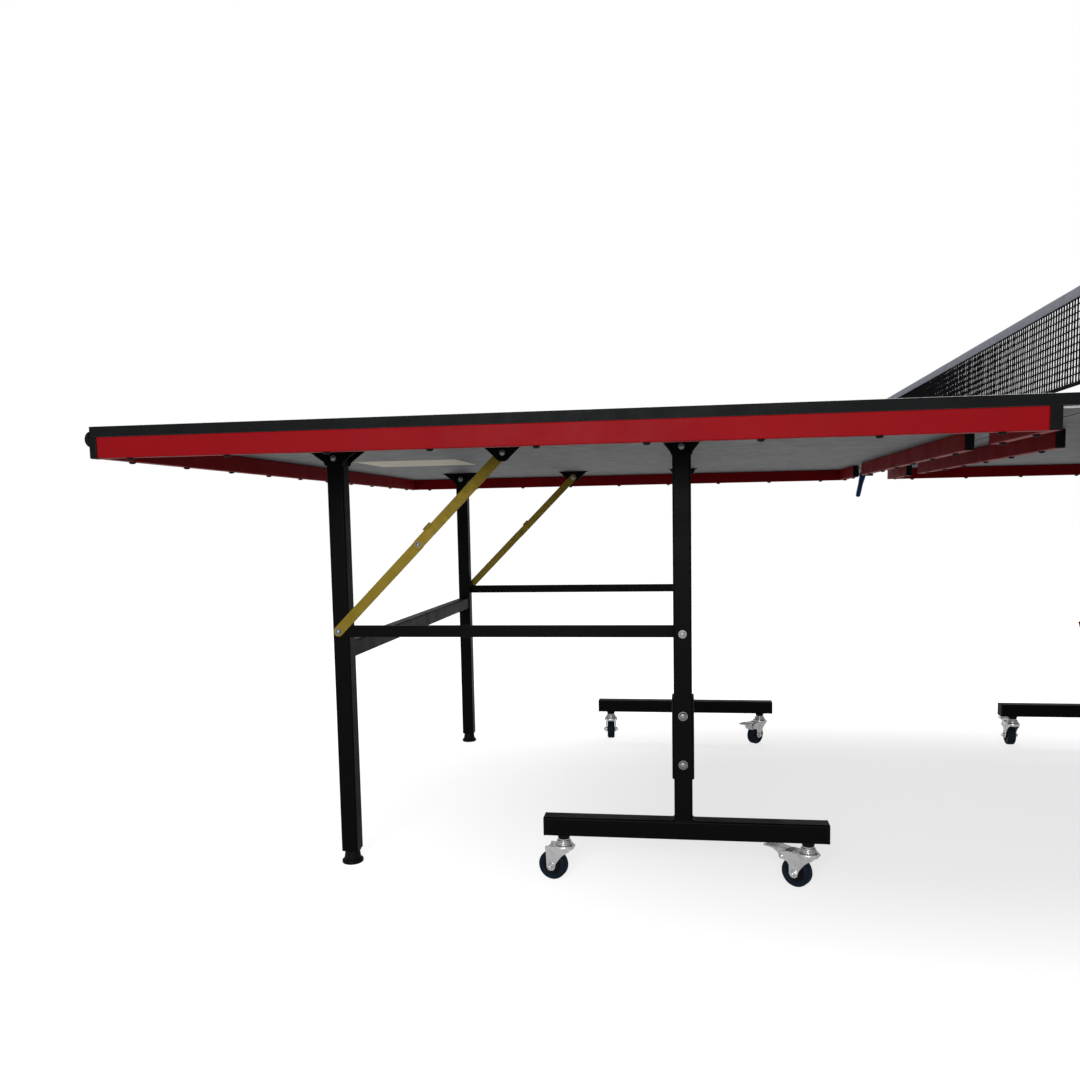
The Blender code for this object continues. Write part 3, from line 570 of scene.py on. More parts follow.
def make_board(half, side):
    length, width = PANEL_HIGH.x - PANEL_LOW.x, PANEL_HIGH.y - PANEL_LOW.y
    board = prism(rounded(length, width, 0.004), PANEL_HIGH.z - PANEL_LOW.z, 0.0009, 2, 60)
    board = put(board, at((PANEL_HIGH.x + PANEL_LOW.x) / 2, 0, (PANEL_HIGH.z + PANEL_LOW.z) / 2))
    piece(f"{half}_board", f"{half}_top", "playing", [cut_lines(board)], [f"{half}_panel"],
          (side, 1), ["line", "edge", "underside"])


def make_rails(half, side):
    """Red rails: two long ones, the end rail, short net-side rails and the cross rail."""
    body, mirror = f"{half}_top", (side, 1)
    low, high, inner = APRON_LOW.z, APRON_HIGH.z, APRON_LOW.x
    y_out, x_out = APRON_HIGH.y, APRON_HIGH.x
    end_rail = block((x_out - RAIL, -y_out + RAIL, low), (x_out, y_out - RAIL, high), RAIL_ROUND, 3)
    long_rail = block((inner + RAIL + 0.0001, y_out - RAIL, low), (x_out - 0.0105, y_out, high),
                      RAIL_ROUND, 3)
    stub = block((inner, STUB_Y, low), (inner + RAIL, y_out - 0.0005, high), RAIL_ROUND, 3)
    piece(f"{half}_rails", body, "red", [end_rail, *both_sides(long_rail, stub)],
          [f"{half}_apron_frame"], mirror)
    cross_low, cross_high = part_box("right_net_rail")
    cross = block(cross_low, cross_high, RAIL_ROUND, 3)
    piece(f"{half}_cross_rail", body, "red", [cross], [f"{half}_net_rail"], mirror)
    plugs = both_sides(rail_plug(inner, STUB_Y - 0.0016), rail_plug(inner, y_out - 0.0006))
    plugs += [rail_plug(cross_low.x, cross_low.y - 0.0016), rail_plug(cross_low.x, cross_high.y - 0.0002)]
    piece(f"{half}_rail_end_plugs", body, "cap", plugs, (), mirror)
    piece(f"{half}_corner_caps", body, "cap", corner_caps(), (), mirror)
    piece(f"{half}_rail_screws", body, "cap", rail_screws(cross_low.x), (), mirror)


def rail_plug(x, y):
    """Plug in the open end of a rail that starts at x."""
    return block((x + 0.0002, y, APRON_LOW.z + 0.0002),
                 (x + RAIL - 0.0002, y + 0.0018, APRON_HIGH.z - 0.0002), 0.0006)


def corner_caps():
    """Moulded corner shoes on the rails' outer corners, each with a round-nosed buffer."""
    x, y = APRON_HIGH.x, APRON_HIGH.y
    shoe = block((x - 0.0110, y - 0.0160, APRON_LOW.z - 0.0006),
                 (x + 0.0012, y + 0.0008, APRON_HIGH.z + 0.0002), 0.0022, 3)
    buffer_outline = arc((x - 0.0040, PANEL_LOW.z - 0.0030), 0.0124, -64, 64, 18)
    nose = put(prism(buffer_outline, 0.0150, 0.0010, 2, 40), at(y=y - 0.0080) @ UPRIGHT)
    return both_sides(shoe, nose)


def rail_screws(cross_rail_x):
    """Black pan heads under the rails."""
    long_y, end_x = APRON_HIGH.y - RAIL / 2, APRON_HIGH.x - RAIL / 2
    spots = [(x, long_y) for x in LONG_RAIL_SCREWS]
    spots += [(end_x, y) for y in END_RAIL_SCREWS]
    spots += [(APRON_LOW.x + RAIL / 2, y) for y in STUB_SCREWS]
    spots += [(cross_rail_x + RAIL / 2, y) for y in CROSS_RAIL_SCREWS]
    head = [(0, 0), (0.0052, 0), (0.0052, -0.0010), (0.0040, -0.0027), (0.0022, -0.0032),
            (0.0016, -0.0020), (0, -0.0020)]
    return both_sides(*(put(lathe(head, 20), at(x, y, APRON_LOW.z + 0.0001)) for x, y in spots))


def make_bracket(half, side, side_name, across, kind):
    """Pressed bracket of a leg: two cheeks, two ears under the board, a bolt and its nut."""
    x, y = (LEG_X, LEG_Y) if kind == "wheel_leg" else (END_X, END_Y)
    half_top = BRACKET_HALF[kind]
    rise = PANEL_LOW.z - PIVOT_Z - 0.0004
    outline = [(half_top, rise), (-half_top, rise), (-half_top, rise - 0.0032), (-0.0178, -0.0065)]
    outline += arc((-0.0120, -0.0072), 0.0058, 180, 270, 4) + arc((0.0120, -0.0072), 0.0058, 270, 360, 4)
    outline += [(0.0178, -0.0065), (half_top, rise - 0.0032)]
    gap = TUBE / 2 + 0.0008
    shapes = []
    for direction in (-1, 1):
        plate = prism(outline, SHEET, 0.0005, 2)
        shapes.append(put(plate, at(x, y + direction * (gap + SHEET / 2), PIVOT_Z) @ UPRIGHT))
    ear_inner, ear_outer = 0.0180, half_top + 0.0055
    for start, stop in ((ear_inner, ear_outer), (-ear_outer, -ear_inner)):
        shapes.append(block((x + start, y - 0.0165, PANEL_LOW.z - 0.0019),
                            (x + stop, y + 0.0165, PANEL_LOW.z - 0.0003), 0.0005))
    name = f"{half}_{side_name}_{kind}"
    piece(f"{name}_bracket_pressing", f"{half}_top", "black", shapes, [f"{name}_bracket"], (side, across))
    bolts = fixed_at(dome_bolt(0.0043, 0.0026), x, y + gap + SHEET, PIVOT_Z)
    bolts += fixed_at(hex_nut(0.0050, 0.0040, 0.0028), x, y - gap - SHEET, PIVOT_Z, -1)
    piece(f"{name}_pivot_bolt", f"{half}_top", "bolt", bolts, (), (side, across))


def make_brace_plate(half, side, side_name, across):
    """Half-round plate outside the upper brace, with its flange and pivot bolt."""
    rise = PANEL_LOW.z - PIVOT_Z - 0.0004
    y_low = BRACE.y + 0.0019
    outline = [(0.035, rise), (-0.035, rise), (-0.035, rise - 0.0030)]
    outline += arc((0, 0), 0.0145, 212, 328, 12) + [(0.035, rise - 0.0030)]
    plate = put(prism(outline, SHEET, 0.0005, 2), at(BRACE.x, y_low + SHEET / 2, PIVOT_Z) @ UPRIGHT)
    flange = block((BRACE.x - 0.0385, y_low, PANEL_LOW.z - 0.0020),
                   (BRACE.x + 0.0385, y_low + 0.024, PANEL_LOW.z - 0.0003), 0.0005)
    name = f"{half}_{side_name}_brace"
    piece(f"{name}_plate", f"{half}_top", "black", [plate, flange], (), (side, across))
    bolts = fixed_at(dome_bolt(0.0041, 0.0025), BRACE.x, y_low + SHEET, PIVOT_Z)
    bolts += fixed_at(hex_nut(0.0048, 0.0038, 0.0027), BRACE.x, BRACE.y - 0.0015, PIVOT_Z, -1)
    piece(f"{name}_plate_bolt", f"{half}_top", "bolt", bolts, (), (side, across))


def make_braces(half, side, side_name, across):
    """Folding stay of two flat bars, with a stop tab bent over the upper one."""
    mirror, name = (side, across), f"{half}_{side_name}"
    upper_low, upper_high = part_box("right_far_upper_brace")
    lower_low, lower_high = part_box("right_far_lower_brace")
    bar = flat_bar(BRACE, KNEE, STAY_WIDTH, upper_low.y, upper_high.y)
    upper = [bar, *stop_tab(upper_low.y, upper_high.y)]
    piece(f"{name}_upper_stay", f"{name}_upper_brace", "yellow", upper, [f"{name}_upper_brace"], mirror)
    lower = flat_bar(KNEE, Vector((END_X, 0, LINK_Z)), STAY_WIDTH, lower_low.y, lower_high.y)
    piece(f"{name}_lower_stay", f"{name}_lower_brace", "yellow", [lower], [f"{name}_lower_brace"], mirror)
    knee_bolt = fixed_at(dome_bolt(0.0040, 0.0023), KNEE.x, upper_high.y, KNEE.z)
    piece(f"{name}_knee_bolt", f"{name}_upper_brace", "bolt", knee_bolt, (), mirror)


def stop_tab(y_low, y_high):
    """Lip and return of the tab on the upper stay's top edge, near the knee."""
    along = (BRACE - KNEE).normalized()
    above = Vector((-along.z, 0, along.x)) * math.copysign(1, along.x)
    turn = Matrix((along, Vector((0, 1, 0)), above)).transposed().to_4x4()
    place = KNEE + along * 0.033
    lip = block((-0.0085, y_high, 0.0062), (0.0085, y_high + 0.0016, 0.0120), 0.0005)
    fold = block((-0.0085, y_low, 0.0092), (0.0085, y_high + 0.0016, 0.0120), 0.0005)
    return [put(shape, at(place.x, 0, place.z) @ turn) for shape in (lip, fold)]


def make_link(half, side, side_name, across):
    """Long link between the legs, its bolt through the wheel leg and its end bolt."""
    mirror = (side, across)
    low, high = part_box("right_far_link_bar")
    first, second = Vector((LEG_X, 0, LINK_Z)), Vector((END_X, 0, LINK_Z))
    name = f"{half}_{side_name}"
    piece(f"{name}_link", f"{name}_link", "black", [flat_bar(first, second, LINK_WIDTH, low.y, high.y)],
          [f"{name}_link_bar"], mirror)
    outer = LEG_Y + TUBE / 2
    nut = fixed_at(hex_nut(0.0054, 0.0042, 0.0030), LEG_X, outer, LINK_Z)
    nut += fixed_at(dome_bolt(0.0050, 0.0026), LEG_X, low.y, LINK_Z, -1)
    piece(f"{name}_link_bolt", f"{half}_carriage", "bolt", nut, (), mirror)
    lower_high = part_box("right_far_lower_brace")[1]
    end_bolt = fixed_at(dome_bolt(0.0048, 0.0026), END_X, lower_high.y, LINK_Z)
    piece(f"{name}_link_end_bolt", f"{name}_lower_brace", "bolt", end_bolt, (), mirror)


def make_end_legs(half, side):
    body = f"{half}_end_legs"
    foot_profile = [(0, 0), (0.0172, 0)] + arc((0.0172, 0.0018), 0.0018, -90, 0, 4)
    foot_profile += [(0.0190, 0.0050), (0.0180, 0.0064), (0.0150, 0.0085), (0.0136, 0.0180),
                     (0.0132, 0.0222), (0.0152, 0.0226), (0.0156, FOOT_TOP), (0, FOOT_TOP)]
    for side_name, across in SIDES.items():
        mirror, name = (side, across), f"{half}_{side_name}_end_leg"
        leg = tube_z(END_X, END_Y, FOOT_TOP, LEG_TOP)
        replaced = [f"{half}_end_leg_frame"] if side_name == "near" else []
        piece(f"{name}_tube", body, "black", [leg], replaced, mirror)
        foot = put(lathe(foot_profile, 40), at(END_X, END_Y, 0))
        piece(f"{name}_foot", body, "cap", [foot], (), mirror)
    inner = END_Y - TUBE / 2
    bar = tube_y(END_X, END_BAR_Z, -inner, inner, CROSS_TUBE, TUBE)
    piece(f"{half}_end_leg_crossbar", body, "black", [bar], (), (side, 1))
    beads = weld_beads(END_X, END_BAR_Z, inner, CROSS_TUBE, TUBE)
    piece(f"{half}_end_leg_welds", body, "black", beads, (), (side, 1))


def make_carriage(half, side):
    body = f"{half}_carriage"
    cross_z = SLEEVE_BOLT_Z[0]
    inner = LEG_Y - SLEEVE / 2
    for side_name, across in SIDES.items():
        mirror, name = (side, across), f"{half}_{side_name}"
        replaced = [f"{half}_carriage_frame"] if side_name == "near" else []
        piece(f"{name}_wheel_leg_tube", body, "black",
              [tube_z(LEG_X, LEG_Y, SLEEVE_Z[1] - 0.002, LEG_TOP)], replaced, mirror)
        sleeve = tube_z(LEG_X, LEG_Y, *SLEEVE_Z, size=SLEEVE, radius=0.0050, end_round=0.0009)
        piece(f"{name}_sleeve", body, "black", [sleeve], (), mirror)
        bolts = []
        for z in SLEEVE_BOLT_Z:
            bolts += fixed_at(dome_bolt(0.0064, 0.0036), LEG_X, LEG_Y + SLEEVE / 2, z)
        piece(f"{name}_sleeve_bolts", body, "bolt", bolts, (), mirror)
        make_base(half, side_name, mirror)
    cross = tube_y(LEG_X, cross_z, -inner, inner, CROSS_TUBE, CROSS_TUBE)
    piece(f"{half}_carriage_cross_tube", body, "black", [cross], (), (side, 1))
    beads = weld_beads(LEG_X, cross_z, inner, CROSS_TUBE, CROSS_TUBE)
    piece(f"{half}_carriage_welds", body, "black", beads, (), (side, 1))


def make_base(half, side_name, mirror):
    """Base bar with its stem, weld, end plugs and tapered caster nuts."""
    body, name = f"{half}_carriage", f"{half}_{side_name}"
    bar_z, bar_height = sum(BAR_Z) / 2, BAR_Z[1] - BAR_Z[0]
    bar = tube_x(LEG_Y, bar_z, TEE_LOW.x, TEE_HIGH.x, TUBE, bar_height, TUBE_ROUND)
    stem = tube_z(LEG_X, LEG_Y, BAR_Z[1] - 0.001, SLEEVE_Z[0] + 0.002)
    bead = prism(rounded(TUBE + 0.0040, TUBE + 0.0004, 0.0045), 0.0030, 0.0012, 3)
    weld = put(bead, at(LEG_X, LEG_Y, BAR_Z[1] + 0.0002))
    piece(f"{name}_base_bar", body, "black", [bar, stem, weld], [f"{name}_base_tee"], mirror)
    plugs = []
    for x, out in ((TEE_LOW.x, -1), (TEE_HIGH.x, 1)):
        plug = prism(rounded(TUBE + 0.0006, bar_height + 0.0006, TUBE_ROUND), 0.0034, 0.0014, 3)
        plugs.append(put(plug, at(x + out * 0.0012, LEG_Y, bar_z) @ ALONG_X))
    piece(f"{name}_base_bar_plugs", body, "cap", plugs, (), mirror)
    profile = [(0.0050, 0.0006), (0.0108, 0.0006), (0.0108, -0.0022), (0.0098, -0.0070),
               (0.0092, -0.0076), (0.0050, -0.0076)]
    stems = [abs(pivot(f"{name}_{end}_swivel").x) for end in ("inner", "outer")]
    nuts = [put(lathe(profile, 36, ring=True), at(x, LEG_Y, BAR_Z[0])) for x in stems]
    piece(f"{name}_caster_sockets", body, "cap", nuts, (), mirror)


# ---- casters: drawn with the stem on Z and the wheel trailing along +X ------------------
def cheek_outline(has_brake):
    top = 0.0600
    front = [(-0.0150, top), (-0.0158, 0.0565), (-0.0130, 0.0530), (-0.0060, 0.0490), (0.0005, 0.0435),
             (0.0060, 0.0365), (0.0105, 0.0300)]
    boss = arc((TRAIL, WHEEL_RADIUS), 0.0080, 190, 352, 12)
    if has_brake:
        back = [(0.0285, 0.0380), (0.0320, 0.0425), (0.0390, 0.0440), (0.0455, 0.0450), (0.0475, 0.0480),
                (0.0470, 0.0530), (0.0420, 0.0580), (0.0330, top)]
    else:
        back = [(0.0284, 0.0400), (0.0290, 0.0500), (0.0305, 0.0560), (0.0290, top)]
    return front + boss + back


def fork_shapes(has_brake):
    shapes = []
    crown = [(0, 0.0540), (0.0118, 0.0540), (0.0122, 0.0552), (0.0166, 0.0552), (0.0175, 0.0560)]
    crown += [(0.0176, 0.0600)] + arc((0.0140, 0.0602), 0.0036, 0, 80, 5)
    crown += [(0.0128, 0.0640), (0, 0.0640)]
    shapes.append(lathe(crown, 56))
    collar = [(0, 0.0638)]
    for level in range(3):
        z = 0.0640 + 0.0024 * level
        radius = 0.0138 - 0.0011 * level
        collar += [(radius - 0.0008, z)] + arc((radius - 0.0008, z + 0.0011), 0.0011, -70, 70, 4)
    collar += [(0.0090, 0.0716), (0.0090, 0.0730), (0, 0.0730)]
    shapes.append(lathe(collar, 48))
    shapes.append(block((-0.0140, -0.0112, 0.0548), (0.0290, 0.0112, 0.0566), 0.0006))
    for direction in (-1, 1):
        plate = prism(cheek_outline(has_brake), 0.0022, 0.0006, 2)
        shapes.append(put(plate, at(y=direction * 0.0121) @ UPRIGHT))
        rib = block((0.0158, -0.0008, 0.0350), (0.0178, 0.0008, 0.0540), 0.0007)
        shapes.append(put(rib, at(y=direction * 0.0131)))
    axle = put(lathe([(0, -0.0135), (0.0030, -0.0135), (0.0030, 0.0135), (0, 0.0135)], 20),
               at(TRAIL, 0, WHEEL_RADIUS) @ FACING_Y)
    shapes.append(axle)
    shapes += fixed_at(hex_nut(0.0056, 0.0048, 0.0028), TRAIL, AXLE_END, WHEEL_RADIUS)
    shapes += fixed_at(hex_nut(0.0056, 0.0042, 0.0026), TRAIL, -AXLE_END, WHEEL_RADIUS, -1)
    if has_brake:
        rivet = [(0, 0), (0.0030, 0), (0.0030, 0.0006), (0.0018, 0.0014), (0, 0.0016)]
        for out in (1, -1):
            shapes += fixed_at([lathe(rivet, 20)], BRAKE_PIN[0], out * AXLE_END, BRAKE_PIN[1], out)
    return shapes


def wheel_shapes():
    """Tread with mould lines, and a dished hub with a bearing boss."""
    half_tread = [(0.0155, 0.0078), (0.0165, 0.0090), (0.0188, 0.0098), (0.0214, 0.0098), (0.0236, 0.0086)]
    half_tread += [(0.0247, 0.0066), (0.0250, 0.0040), (0.0249, 0.0014), (0.0247, 0.0012), (0.0247, 0.0)]
    tread = half_tread + [(radius, -height) for radius, height in reversed(half_tread[:-1])]
    half_hub = [(0.0035, 0.0106), (0.0066, 0.0106), (0.0072, 0.0100), (0.0078, 0.0074), (0.0120, 0.0068),
                (0.0136, 0.0082), (0.0157, 0.0084)]
    hub = half_hub + [(radius, -height) for radius, height in reversed(half_hub)]
    place = at(TRAIL, 0, WHEEL_RADIUS) @ FACING_Y
    hub_shape = put(lathe(hub, 56, ring=True), place)
    for face in hub_shape.faces:
        face.material_index = 1
    return [put(lathe(tread, 72, ring=True), place), hub_shape]


def pedal_shapes():
    """Hinged foot pedal: folded block on the pin, ridged paddle and upturned toe."""
    pin_x, pin_z = BRAKE_PIN
    body = [(pin_x - 0.0030, pin_z - 0.0060), (pin_x + 0.0046, pin_z - 0.0062)]
    body += [(pin_x + 0.0085, pin_z + 0.003)]
    body += [(0.0600, 0.0575), (0.0745, 0.0594), (0.0752, 0.0612), (0.0600, 0.0618), (0.0500, 0.0622)]
    body += [(pin_x - 0.0055, 0.0612), (pin_x - 0.0055, 0.0578), (pin_x - 0.0030, 0.0550)]
    shapes = [put(prism(body, 0.0200, 0.0005, 2), UPRIGHT)]
    paddle = [(0.0515, 0.0600), (0.0735, 0.0596), (0.0756, 0.0608), (0.0756, 0.0622), (0.0735, 0.0618),
              (0.0515, 0.0622)]
    shapes.append(put(prism(paddle, 0.0276, 0.0005, 2), UPRIGHT))
    for step in range(4):
        ridge = block((-0.0008, -0.0125, 0), (0.0008, 0.0125, 0.0018), 0.0006)
        shapes.append(put(ridge, at(0.0550 + 0.0050 * step, 0, 0.0612)))
    return shapes


def make_caster(half, side_name, end):
    name = f"{half}_{side_name}_{end}"
    stem, wheel = pivot(f"{name}_swivel"), pivot(f"{name}_roll")
    heading = math.atan2(wheel.y - stem.y, wheel.x - stem.x)
    place = at(stem.x, stem.y, 0) @ Matrix.Rotation(heading, 4, "Z")
    has_brake = end == "inner"
    fork = [put(shape, place) for shape in fork_shapes(has_brake)]
    piece(f"{name}_fork_pressing", f"{name}_fork", "zinc", fork, [f"{name}_caster_fork"])
    tread = [put(shape, place) for shape in wheel_shapes()]
    piece(f"{name}_tread", f"{name}_wheel", "tyre", tread, [f"{name}_caster_wheel"], more_looks=["hub"])
    if has_brake:
        pedal = [put(shape, place) for shape in pedal_shapes()]
        piece(f"{name}_foot_pedal", f"{name}_pedal", "zinc", pedal, [f"{name}_brake_pedal"])


# ---- net --------------------------------------------------------------------------------
def loft(rings):
    """Closed skin over rings of points, capped at both ends."""
    shape = bmesh.new()
    skin = [[shape.verts.new(point) for point in ring] for ring in rings]
    for first, second in zip(skin, skin[1:]):
        for step in range(len(first)):
            following = (step + 1) % len(first)
            shape.faces.new((first[step], first[following], second[following], second[step]))
    shape.faces.new(skin[0])
    shape.faces.new(skin[-1])
    bmesh.ops.recalc_face_normals(shape, faces=shape.faces)
    return shape


def strand(points, radii, sides=4):
    """A closed thin cord through points in the YZ plane."""
    out, rings = Vector((1, 0, 0)), []
    angles = [math.tau * step / sides for step in range(sides)]
    for index, (point, radius) in enumerate(zip(points, radii)):
        before, after = points[max(index - 1, 0)], points[min(index + 1, len(points) - 1)]
        side = (Vector(after) - Vector(before)).normalized().cross(out)
        rings.append([Vector(point) + radius * (math.cos(a) * out + math.sin(a) * side) for a in angles])
    return loft(rings)


def make_net():
    """Knotted square netting between a doubled top tape and a bottom band."""
    jitter = random.Random(7)
    reach = NET_HIGH.y
    low, high = BAND_LOW + BAND_HEIGHT, NET_HIGH.z - TAPE_HEIGHT
    rows = max(2, round((high - low) / MESH_ROW))
    levels = [low + (high - low) * step / rows for step in range(rows + 1)]
    columns = round(2 * reach / MESH_COLUMN)
    cords = []
    for column in range(1, columns):
        y = -reach + 2 * reach * column / columns
        points, radii = [], []
        drift = jitter.uniform(-0.0006, 0.0006)
        for index, level in enumerate(levels):
            sway = drift + jitter.uniform(-0.0005, 0.0005)
            points.append((0.0, y + sway, level))
            radii.append(CORD_RADIUS * 1.60)
            if index < rows:
                points.append((0.0, y + sway * 0.5, level + (high - low) / rows * 0.5))
                radii.append(CORD_RADIUS * 1.25)
        cords.append(strand(points, radii))
    stops = columns // 2
    heading = high - 0.0022      # the cord that runs just under the tape
    for level in levels[1:-1] + [heading]:
        points = [(0.0, -reach + 2 * reach * step / stops, level + jitter.uniform(-0.0003, 0.0003))
                  for step in range(stops + 1)]
        cords.append(strand(points, [CORD_RADIUS] * len(points)))
    netting = piece("netting", "net_set", "cords", cords, ["net"])
    tape = folded_tape(high - 0.001, NET_HIGH.z + 0.0015, reach, 0.0013)
    top = piece("net_top_tape", "net_set", "tape", [tape])
    lower = piece("net_bottom_band", "net_set", "band",
                  [folded_tape(BAND_LOW, BAND_LOW + BAND_HEIGHT, reach, 0.0011)])
    ends = []
    for across in SIDES.values():
        pocket = folded_tape(BAND_LOW, NET_HIGH.z, POCKET_HALF, 0.0016, 0.020)
        ends.append(put(pocket, at(y=across * (reach - POCKET_HALF))))
    sides = piece("net_side_pockets", "net_set", "band", ends)


def folded_tape(low, high, reach, fold, step=0.060):
    """Flat loop with a round fold of a given radius, faintly rippled along its length."""
    jitter = random.Random(11)
    section = [(-fold * 0.8, low)] + [(-fold, low + (high - low) * part) for part in (0.25, 0.6)]
    section += arc((0, high - fold), fold, 180, 0, 6)
    section += [(fold, low + (high - low) * part) for part in (0.6, 0.25)] + [(fold * 0.8, low)]
    count = max(2, round(2 * reach / step))
    rings = []
    for index in range(count + 1):
        y = -reach + 2 * reach * index / count
        ripple = jitter.uniform(-0.00025, 0.00025)
        rings.append([(x + ripple, y, z) for x, z in section])
    return loft(rings)


def make_net_post(side_name, across):
    """Post with its cap, arm, clamp plate, upper jaw and the gusset between them."""
    low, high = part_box("far_net_post")
    radius = 0.008
    post_y = high.y - radius
    base = low.z + 0.006
    profile = [(0, base)] + arc((radius - 0.0015, base + 0.0015), 0.0015, -90, 0, 3)
    profile += [(radius, high.z - 0.008), (radius + 0.0012, high.z - 0.0078),
                (radius + 0.0012, high.z - 0.0030)]
    profile += arc((radius - 0.0022, high.z - 0.0030), 0.0034, 0, 90, 5) + [(0, high.z + 0.0004)]
    shapes = [put(lathe(profile, 36), at(0, post_y, 0))]
    top, edge = PANEL_HIGH.z, PANEL_HIGH.y
    shapes.append(block((-0.0125, edge + 0.002, top - 0.024), (0.0125, post_y, top - 0.018), 0.0012))
    shapes.append(block((-0.022, edge + 0.002, top - 0.034), (0.022, edge + 0.008, top + 0.0045), 0.0014))
    shapes.append(block((-0.022, edge - 0.042, top + 0.0003), (0.022, edge + 0.008, top + 0.0045), 0.0014))
    gusset = [(edge + 0.006, top - 0.019), (edge + 0.006, top - 0.002), (edge + 0.045, top - 0.019)]
    shapes.append(put(prism(gusset, 0.004, 0.0008, 2), ALONG_X))
    piece(f"{side_name}_post_and_clamp", "net_set", "black", shapes, [f"{side_name}_net_post"], (1, across))


def make_clamp_lever(side_name, across):
    """Blue cam lever on its strap and ear below the left half's net end."""
    centre = pivot("far_clamp_lever_turn")
    length = centre.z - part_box("far_clamp_lever")[0].z
    outline = arc((0, 0), 0.0078, 10, 170, 12) + [(-0.0076, -0.010), (-0.0062, -0.028), (-0.0064, -0.046)]
    outline += arc((0.0, -length + 0.0058), 0.0058, 190, 350, 10)
    outline += [(0.0060, -0.046), (0.0056, -0.028), (0.0074, -0.010)]
    lean = Matrix.Rotation(math.radians(12), 4, "Y")
    lever = put(prism(outline, 0.0140, 0.0028, 4, 40), at(*centre) @ lean @ UPRIGHT)
    name = f"{side_name}_clamp_lever"
    piece(f"{name}_grip", name, "lever", [lever], [name], (1, across))
    low = APRON_HIGH.z - 0.0026
    strap = block((-APRON_LOW.x - 0.004, 0.7490, low), (-0.004, 0.7590, APRON_HIGH.z - 0.0003), 0.0005)
    ear = block((centre.x - 0.008, 0.7506, centre.z - 0.008), (centre.x + 0.007, 0.7534, low + 0.001),
                0.0008)
    pin = put(lathe([(0, -0.0098), (0.0025, -0.0098), (0.0025, 0.0105), (0.0042, 0.0105),
                     (0.0042, 0.0122), (0, 0.0126)], 24), at(centre.x, centre.y, centre.z) @ FACING_Y)
    piece(f"{name}_strap", "left_top", "zinc", [strap, ear, pin], (), (1, across))


def make_bat_holder():
    """Bent red sheet on the right far wheel leg, wider at its top."""
    low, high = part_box("bat_holder")
    sheet, back = 0.002, high.y
    floor, lip = low.z + 0.008, low.z + 0.020
    profile = [(back, high.z), (back - sheet, high.z), (back - sheet, floor + sheet)]
    profile += [(low.y + 0.006, floor - 0.0045), (low.y + sheet, lip), (low.y, lip)]
    profile += [(low.y + 0.003, floor - 0.0075), (back - 0.002, floor - 0.0008), (back, floor + 0.001)]
    centre = (low.x + high.x) / 2
    shape = put(prism(profile, high.x - low.x, 0.0005, 2), at(centre) @ ALONG_X)
    for vertex in shape.verts:
        share = max(0.0, min(1.0, (high.z - vertex.co.z) / (high.z - floor)))
        vertex.co.x = centre + (vertex.co.x - centre) * (1 - 0.32 * share)
    piece("bat_holder_sheet", "right_carriage", "red", [shape], ["bat_holder"])
    screws = []
    for z in (high.z - 0.018, high.z - 0.052):
        screws += fixed_at(dome_bolt(0.0045, 0.0024), centre, back - sheet, z, -1)
    piece("bat_holder_screws", "right_carriage", "bolt", screws)


def make_label():
    """Blank cream label under the left board."""
    (x_low, y_low), (x_high, y_high) = LABEL_LOW, LABEL_HIGH
    sheet = prism(rounded(x_high - x_low, y_high - y_low, 0.004), 0.0003)
    place = at((x_low + x_high) / 2, (y_low + y_high) / 2, PANEL_LOW.z - 0.0003)
    piece("left_blank_label", "left_top", "label", [put(sheet, place)])


# ---- studio -----------------------------------------------------------------------------
WORLD_LIGHT = 0.20           # what the white backdrop throws on the table
WORLD_SEEN = 1.0
FLOOR_RADIUS = 26.0
LIGHTS = {                   # place, target, diameter and watts
    "key": ((-1.0, -4.5, 1.6), (-0.3, 0, 0.6), 2.2, 130),
    "overhead": ((0.2, 0.9, 4.2), (0, 0.2, 0), 4.5, 160),
}
CAMERA_PLACE = (-0.5224, -1.9393, 0.6162)
CAMERA_TURN = (-8.0183, 4.9204, -1.0166)     # heading from +Y, down, roll; degrees
CAMERA_LENS = 29.462
CAMERA_SHIFT = (-0.0201, 0.0510)


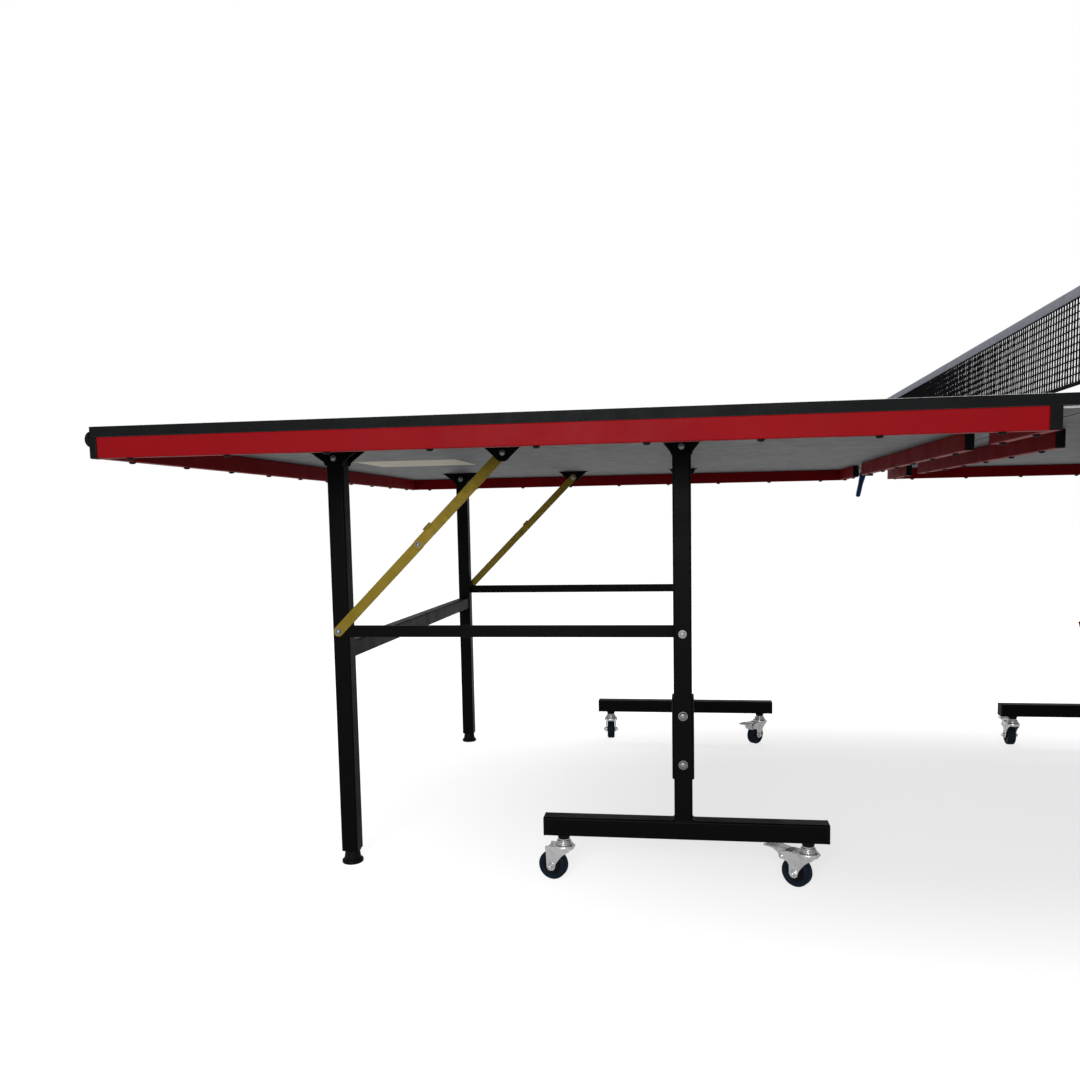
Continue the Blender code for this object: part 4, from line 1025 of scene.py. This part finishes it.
def make_camera():
    heading, down, roll = (math.radians(angle) for angle in CAMERA_TURN)
    forward = Vector((math.sin(heading) * math.cos(down), math.cos(heading) * math.cos(down),
                      -math.sin(down)))
    right = Vector((math.cos(heading), -math.sin(heading), 0))
    up = right.cross(forward)
    turned_right = math.cos(roll) * right + math.sin(roll) * up
    turned_up = -math.sin(roll) * right + math.cos(roll) * up
    data = bpy.data.cameras.new("camera")
    data.sensor_width = 36.0
    data.lens = CAMERA_LENS
    data.shift_x, data.shift_y = CAMERA_SHIFT
    camera = bpy.data.objects.new("camera", data)
    turn = Matrix((turned_right, turned_up, -forward)).transposed().to_4x4()
    camera.matrix_world = at(*CAMERA_PLACE) @ turn
    bpy.context.scene.collection.objects.link(camera)
    bpy.context.scene.camera = camera


def area_light(name, place, target, size, power):
    data = bpy.data.lights.new(name, "AREA")
    data.shape = "DISK"
    data.size = size
    data.energy = power
    light = bpy.data.objects.new(name, data)
    light.location = place
    direction = Vector(target) - Vector(place)
    light.rotation_euler = direction.to_track_quat("-Z", "Y").to_euler()
    bpy.context.scene.collection.objects.link(light)


def make_floor():
    shape = bmesh.new()
    bmesh.ops.create_circle(shape, cap_ends=True, segments=96, radius=FLOOR_RADIUS)
    data = bpy.data.meshes.new("studio_floor")
    shape.to_mesh(data)
    shape.free()
    data.materials.append(floor_paint())
    floor = bpy.data.objects.new("studio_floor", data)
    floor.location.z = -0.0005
    bpy.context.scene.collection.objects.link(floor)


def make_world():
    """White backdrop that throws less light on the table than it shows."""
    world = bpy.data.worlds.new("studio")
    world.use_nodes = True
    background = world.node_tree.nodes["Background"]
    background.inputs["Color"].default_value = (1.0, 1.0, 1.0, 1.0)
    level = world.node_tree.nodes.new("ShaderNodeMapRange")
    level.inputs["To Min"].default_value = WORLD_LIGHT
    level.inputs["To Max"].default_value = WORLD_SEEN
    world.node_tree.links.new(seen_directly(world.node_tree), level.inputs["Value"])
    world.node_tree.links.new(level.outputs["Result"], background.inputs["Strength"])
    bpy.context.scene.world = world


def make_studio():
    make_floor()
    make_world()
    for name, setting in LIGHTS.items():
        area_light(name, *setting)
    bpy.context.scene.view_settings.view_transform = "Standard"


def build():
    for half, side in HALVES.items():
        make_board(half, side)
        make_rails(half, side)
        make_end_legs(half, side)
        make_carriage(half, side)
        for side_name, across in SIDES.items():
            make_bracket(half, side, side_name, across, "wheel_leg")
            make_bracket(half, side, side_name, across, "end_leg")
            make_brace_plate(half, side, side_name, across)
            make_braces(half, side, side_name, across)
            make_link(half, side, side_name, across)
            for end in ("outer", "inner"):
                make_caster(half, side_name, end)
    make_net()
    for side_name, across in SIDES.items():
        make_net_post(side_name, across)
        make_clamp_lever(side_name, across)
    make_bat_holder()
    make_label()
    make_camera()
    make_studio()


build()
